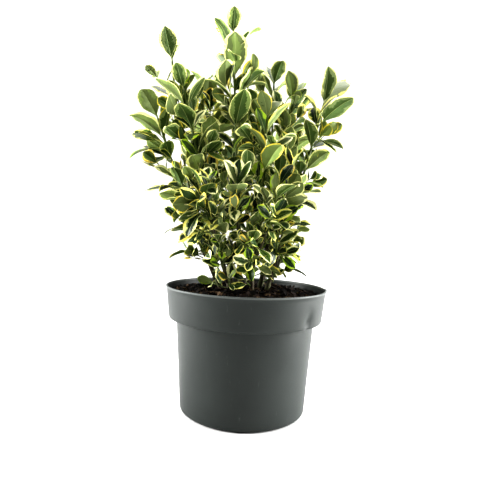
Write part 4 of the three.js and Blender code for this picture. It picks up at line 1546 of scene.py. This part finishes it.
class ColourSettings(bpy.types.PropertyGroup):
    """Colours and gloss of each finish."""

    leaf_brightness: strength_property("Leaf brightness", "Scales every leaf tone alike", 1.1)
    leaf_roughness: share_property("Leaf gloss", "Roughness of the upper side of a leaf", 0.36)
    under_roughness: share_property("Underside gloss", "Roughness of the underside of a leaf", 0.62)
    twig_green: colour_property("Young twig", "Colour of this year's twigs", 92, 112, 40)
    twig_olive: colour_property("Older twig", "Colour of last year's twigs", 72, 80, 36)
    bark_brown: colour_property("Bark", "Main colour of the bark", 56, 48, 32)
    bark_grey: colour_property("Worn bark", "Colour of the bark's raised streaks", 92, 84, 60)
    bark_pale: colour_property("Bark pores", "Colour of the bark's small pores", 118, 106, 80)
    pot_grey: colour_property("Pot", "Main colour of the pot", 44, 48, 46)
    pot_light: colour_property("Pot clouds", "Lighter clouds in the pot's plastic", 50, 54, 52)
    pot_dust: colour_property("Pot dust", "Dry marks on the pot", 96, 98, 94)
    # Painted highlight, not wear: a lighter grey for the top of the rolled lip that stands in for the light
    # it catches from above.
    pot_lip_highlight: colour_property("Pot rim", "Worn top of the rolled lip", 92, 96, 94)
    compost_dark: colour_property("Dark compost", "Moist peat", 9, 7, 6)
    compost_brown: colour_property("Brown compost", "Drier peat", 20, 14, 10)
    compost_red: colour_property("Red bark", "Reddish bark in the compost", 40, 29, 22)
    compost_tan: colour_property("Tan fibre", "Dry fibre in the compost", 100, 82, 62)


class StageSettings(bpy.types.PropertyGroup):
    """Light, floor and camera."""

    sky_light: strength_property("Surround light", "Strength of the white surround", 0.93)
    camera_side: strength_property("Front light", "Strength of the surround behind the camera", 0.0)
    overhead_light: strength_property("Overhead light", "Strength of the soft light from above", 2.7)
    lamp_power: FloatProperty(
        name="Lamp power",
        description="Power of the right soft lamp, which the left one follows",
        default=48.0,
        min=0,
        unit="POWER",
    )
    lens: FloatProperty(
        name="Lens",
        description="Focal length in millimetres on a sensor 36 mm wide",
        default=33.07,
        min=1,
        subtype="DISTANCE_CAMERA",
    )
    camera_place: FloatVectorProperty(
        name="Camera",
        description="Where the camera stands",
        default=(-0.0112, -0.6247, 0.2488),
        subtype="TRANSLATION",
        unit="LENGTH",
    )
    camera_pitch: angle_property("Pitch", "How far the camera looks above the level", -1.11)
    camera_roll: angle_property("Roll", "How far the camera's right side is raised", 2.24)


# The stage in metres: the two soft lamps, the world's fade from the camera's side, and the floor.
LAMP_RIGHT = (1.35, 0.0, 0.4)
LAMP_LEFT = (-1.35, 0.0, 0.5)
LAMP_AIM = (0, 0, 0.25)
LAMP_SIZE = 0.8
LEFT_SHARE = 0.88
SURROUND_FADE = (-0.8, 0.5)
FLOOR_RINGS = (0.02, 0.12, 0.3, 0.7, 1.5, 3.0, 6.0, 12.0)
FLOOR_SIDES = 48
FLOOR_DROP = 0.0003
FLOOR_THICK = 0.05


def soft_lamp(name, place, power):
    lamp = bpy.data.lights.new(name, "AREA")
    lamp.shape = "DISK"
    lamp.size = LAMP_SIZE
    lamp.energy = power
    made = bpy.data.objects.new(name, lamp)
    made.location = place
    made.rotation_euler = (Vector(LAMP_AIM) - Vector(place)).to_track_quat("-Z", "Y").to_euler()
    bpy.context.scene.collection.objects.link(made)


class SPINDLE_OT_stage(bpy.types.Operator):
    """Sets the pale floor, the soft light and the camera"""

    bl_idname = "spindle.stage"
    bl_label = "Stage"

    def execute(self, context):
        settings = context.scene.spindle_stage
        scene = context.scene
        scene.view_settings.view_transform = "Standard"
        scene.view_settings.look = "High Contrast"
        self.surround(scene, settings)
        self.floor()
        soft_lamp("lamp_right", LAMP_RIGHT, settings.lamp_power)
        soft_lamp("lamp_left", LAMP_LEFT, LEFT_SHARE * settings.lamp_power)
        overhead = bpy.data.lights.new("overhead", "SUN")
        overhead.energy = settings.overhead_light
        overhead.angle = math.radians(70)
        lamp = bpy.data.objects.new("overhead", overhead)
        lamp.rotation_euler = (math.radians(-12), math.radians(8), 0)
        scene.collection.objects.link(lamp)
        self.camera(scene, settings)
        return {"FINISHED"}

    def surround(self, scene, settings):
        """A white room that is darker towards the side where the camera stands."""
        world = bpy.data.worlds.new("surround")
        world.use_nodes = True
        tree = world.node_tree
        background = tree.nodes["Background"]
        place = tree.nodes.new("ShaderNodeTexCoord")
        parts = tree.nodes.new("ShaderNodeSeparateXYZ")
        strength = tree.nodes.new("ShaderNodeMapRange")
        strength.interpolation_type = "SMOOTHSTEP"
        limits = (*SURROUND_FADE, settings.camera_side, settings.sky_light)
        for socket, value in zip(strength.inputs[1:5], limits):
            socket.default_value = value
        tree.links.new(place.outputs["Generated"], parts.inputs[0])
        tree.links.new(parts.outputs["Y"], strength.inputs[0])
        tree.links.new(strength.outputs[0], background.inputs["Strength"])
        background.inputs["Color"].default_value = (1, 1, 1, 1)
        scene.world = world

    def floor(self):
        """A wide flat pale disc just below the pot."""
        edge = FLOOR_RINGS[-1]
        profile = [(0.0, -FLOOR_THICK), (edge, -FLOOR_THICK)]
        profile += [(radius, -FLOOR_DROP) for radius in (*FLOOR_RINGS[::-1], 0.0)]
        points, faces = lathe(profile, FLOOR_SIDES)
        finish = Finish("floor_white", linear(226, 226, 225), 0.85, Specular_IOR_Level=0.2)
        mesh = bpy.data.meshes.new("floor")
        mesh.from_pydata(points, [], [tuple(f) for face_set in faces for f in face_set.tolist()])
        mesh.materials.append(finish.material)
        floor = bpy.data.objects.new("floor", mesh)
        bpy.context.scene.collection.objects.link(floor)

    def camera(self, scene, settings):
        pitch = settings.camera_pitch
        roll = settings.camera_roll
        forward = Vector((0, math.cos(pitch), math.sin(pitch)))
        level_up = Vector((0, -math.sin(pitch), math.cos(pitch)))
        right = Vector((1, 0, 0)) * math.cos(roll) + level_up * math.sin(roll)
        up = right.cross(forward)
        data = bpy.data.cameras.new("camera")
        data.sensor_width = 36
        data.lens = settings.lens
        data.clip_start = 0.01
        camera = bpy.data.objects.new("camera", data)
        turn = Matrix((right, up, -forward)).transposed().to_4x4()
        camera.matrix_world = Matrix.Translation(settings.camera_place) @ turn
        scene.collection.objects.link(camera)
        scene.camera = camera


class SPINDLE_OT_pot(bpy.types.Operator):
    """Makes the pot: rolled lip, stepped collar with a knock in it, and drain holes"""

    bl_idname = "spindle.pot"
    bl_label = "Pot"

    def execute(self, context):
        settings = context.scene.spindle_pot
        points, faces = lathe(rounded(pot_profile(), POT_STEP), POT_SIDES)
        points = knock(points)
        points[:, :2] *= settings.rim_radius / (RIM_RADIUS * MM)
        points[:, 2] *= settings.height / (POT_HEIGHT * MM)
        mesh = Mesh()
        mesh.add(points, faces)
        material = pot_material(context.scene.spindle_colours)
        pot = mesh.build("pot_moulded", [material], ["pot"], sharp_angle=50)
        self.drill(pot)
        return {"FINISHED"}

    def drill(self, pot):
        """Cuts the ring of drain holes through the base."""
        bits = Mesh()
        for hole in range(DRAIN_HOLES):
            angle = 2 * math.pi * hole / DRAIN_HOLES
            centre = np.array((DRAIN_RING * math.cos(angle), DRAIN_RING * math.sin(angle), 0.0))
            centres = centre + np.array(((0, 0, -3.0), (0, 0, 3.0)))
            up = np.array(((0, 0, 1.0), (0, 0, 1.0)))
            bits.add(*tube(centres, up, np.full(2, DRAIN_RADIUS), 32))
        cutter = bits.build("drill", [], [])
        cut = pot.modifiers.new("drain", "BOOLEAN")
        cut.object = cutter
        cut.operation = "DIFFERENCE"
        cut.solver = "EXACT"
        apply_modifiers(pot)
        bpy.data.objects.remove(cutter)


def apply_modifiers(piece):
    """Replaces a piece's mesh with the one that its modifiers make."""
    graph = bpy.context.evaluated_depsgraph_get()
    made = bpy.data.meshes.new_from_object(piece.evaluated_get(graph))
    piece.modifiers.clear()
    piece.data = made


class SPINDLE_OT_compost(bpy.types.Operator):
    """Makes the compost: a lumpy surface with bark chips and fibres on it"""

    bl_idname = "spindle.compost"
    bl_label = "Compost"

    def execute(self, context):
        settings = context.scene.spindle_pot
        edge = RIM_RADIUS - LIP - 1.3
        top = [(radius, float(soil_height(radius))) for radius in np.arange(edge - 0.6, 0.5, -1.6)]
        profile = [
            (0.0, WALL + GAP),
            (FOOT_RADIUS - 2 * WALL - GAP, WALL + GAP),
            (FOOT_RADIUS - WALL - GAP, FOOT_ROUND + WALL),
            (BODY_TOP_RADIUS - WALL - GAP, COLLAR_FOOT + GAP),
            (COLLAR_FOOT_RADIUS - 3 - WALL - GAP, COLLAR_FOOT + GAP + 0.4),
            (edge, float(soil_height(edge)) - 3.5),
            *top,
            (0.0, SOIL_TOP),
        ]
        points, faces = lathe(profile, 220)
        radius = np.hypot(points[:, 0], points[:, 1])
        surface = (points[:, 2] > soil_height(radius) - 1.5) & (radius < edge - 0.5)
        fade = np.clip((edge - radius[surface]) / 6, 0, 1)
        points[surface, 2] += clods(points[surface]) * fade
        mesh = Mesh()
        mesh.add(points, faces)
        add_chips(mesh, settings.chips)
        add_fibres(mesh, settings.fibres)
        materials = compost_materials(context.scene.spindle_colours)
        mesh.build("compost_surface", materials, ["soil"], sharp_angle=60)
        return {"FINISHED"}


class SPINDLE_OT_limbs(bpy.types.Operator):
    """Makes the bare stems and boughs with the bark's relief"""

    bl_idname = "spindle.limbs"
    bl_label = "Stems and boughs"

    def execute(self, context):
        branches = build_branches()
        mesh = Mesh()
        for number, branch in enumerate(branches):
            mesh.add(*limb_tube(branch, LIMB_PLACES + number))
        names = [f"{branch.kind}_{branch.name}" for branch in branches]
        material = bark_material(context.scene.spindle_colours)
        mesh.build("stems_and_boughs", [material], names)
        return {"FINISHED"}


class SPINDLE_OT_foliage(bpy.types.Operator):
    """Grows twigs and leaves on from the limbs, by the source's rule and then finer"""

    bl_idname = "spindle.foliage"
    bl_label = "Twigs and leaves"

    def execute(self, context):
        scene = context.scene
        crown = Crown(build_branches(), scene.spindle_foliage).grow()
        numbers = {branch.name: i for i, branch in enumerate(crown.branches)}
        materials = leaf_materials(scene.spindle_colours)
        for spray, names in SPRAYS.items():
            mesh = Mesh()
            shoots = [numbers[name] for name in names]
            self.add_leaves(mesh, [leaf for shoot in shoots for leaf in crown.all_leaves[shoot]])
            mesh.build(f"leaves_{spray}", materials, [f"shoot_{name}" for name in names])
        self.add_twigs(crown, twig_materials(scene.spindle_colours), scene.spindle_foliage.node_swell)
        return {"FINISHED"}

    def add_leaves(self, mesh, leaves):
        """Long leaves have more teeth than short ones."""
        for low, high, teeth in TEETH:
            group = [leaf for leaf in leaves if low <= leaf.length < high]
            if group:
                Blades(group, teeth).add_to(mesh)

    def add_twigs(self, crown, materials, swell):
        mesh = Mesh()
        for branch, twigs in zip(crown.branches, crown.all_twigs):
            for i, twig in enumerate(twigs):
                lead = branch.radius[1] if i == 0 else None
                points, faces = twig_tube(twig, swell, lead)
                heights = np.array([points[f].mean(axis=0)[2] for face_set in faces for f in face_set])
                woody = heights < mix(branch.line.point(branch.bare)[2], branch.line.tip[2], 0.22)
                mesh.add(points, faces, woody.astype(int) if i == 0 else 0)
                mesh.add(*bud(twig))
        mesh.build("twigs", materials, [])


class SPINDLE_PT_sidebar(bpy.types.Panel):
    """Lists the pieces of the potted shrub"""

    bl_idname = "SPINDLE_PT_sidebar"
    bl_label = "Potted spindle"
    bl_space_type = "VIEW_3D"
    bl_region_type = "UI"
    bl_category = "Spindle"

    def draw(self, context):
        for kind in PIECES:
            self.layout.operator(kind.bl_idname)


SETTINGS = {
    "spindle_pot": PotSettings,
    "spindle_foliage": FoliageSettings,
    "spindle_colours": ColourSettings,
    "spindle_stage": StageSettings,
}
PIECES = (
    SPINDLE_OT_stage,
    SPINDLE_OT_pot,
    SPINDLE_OT_compost,
    SPINDLE_OT_limbs,
    SPINDLE_OT_foliage,
)
CLASSES = (*SETTINGS.values(), *PIECES, SPINDLE_PT_sidebar)


def register():
    for kind in CLASSES:
        bpy.utils.register_class(kind)
    for name, kind in SETTINGS.items():
        setattr(bpy.types.Scene, name, PointerProperty(type=kind))


def unregister():
    for name in SETTINGS:
        delattr(bpy.types.Scene, name)
    for kind in reversed(CLASSES):
        bpy.utils.unregister_class(kind)


def main():
    register()
    bpy.ops.spindle.stage()
    bpy.ops.spindle.pot()
    bpy.ops.spindle.compost()
    bpy.ops.spindle.limbs()
    bpy.ops.spindle.foliage()


if __name__ == "__main__":
    main()
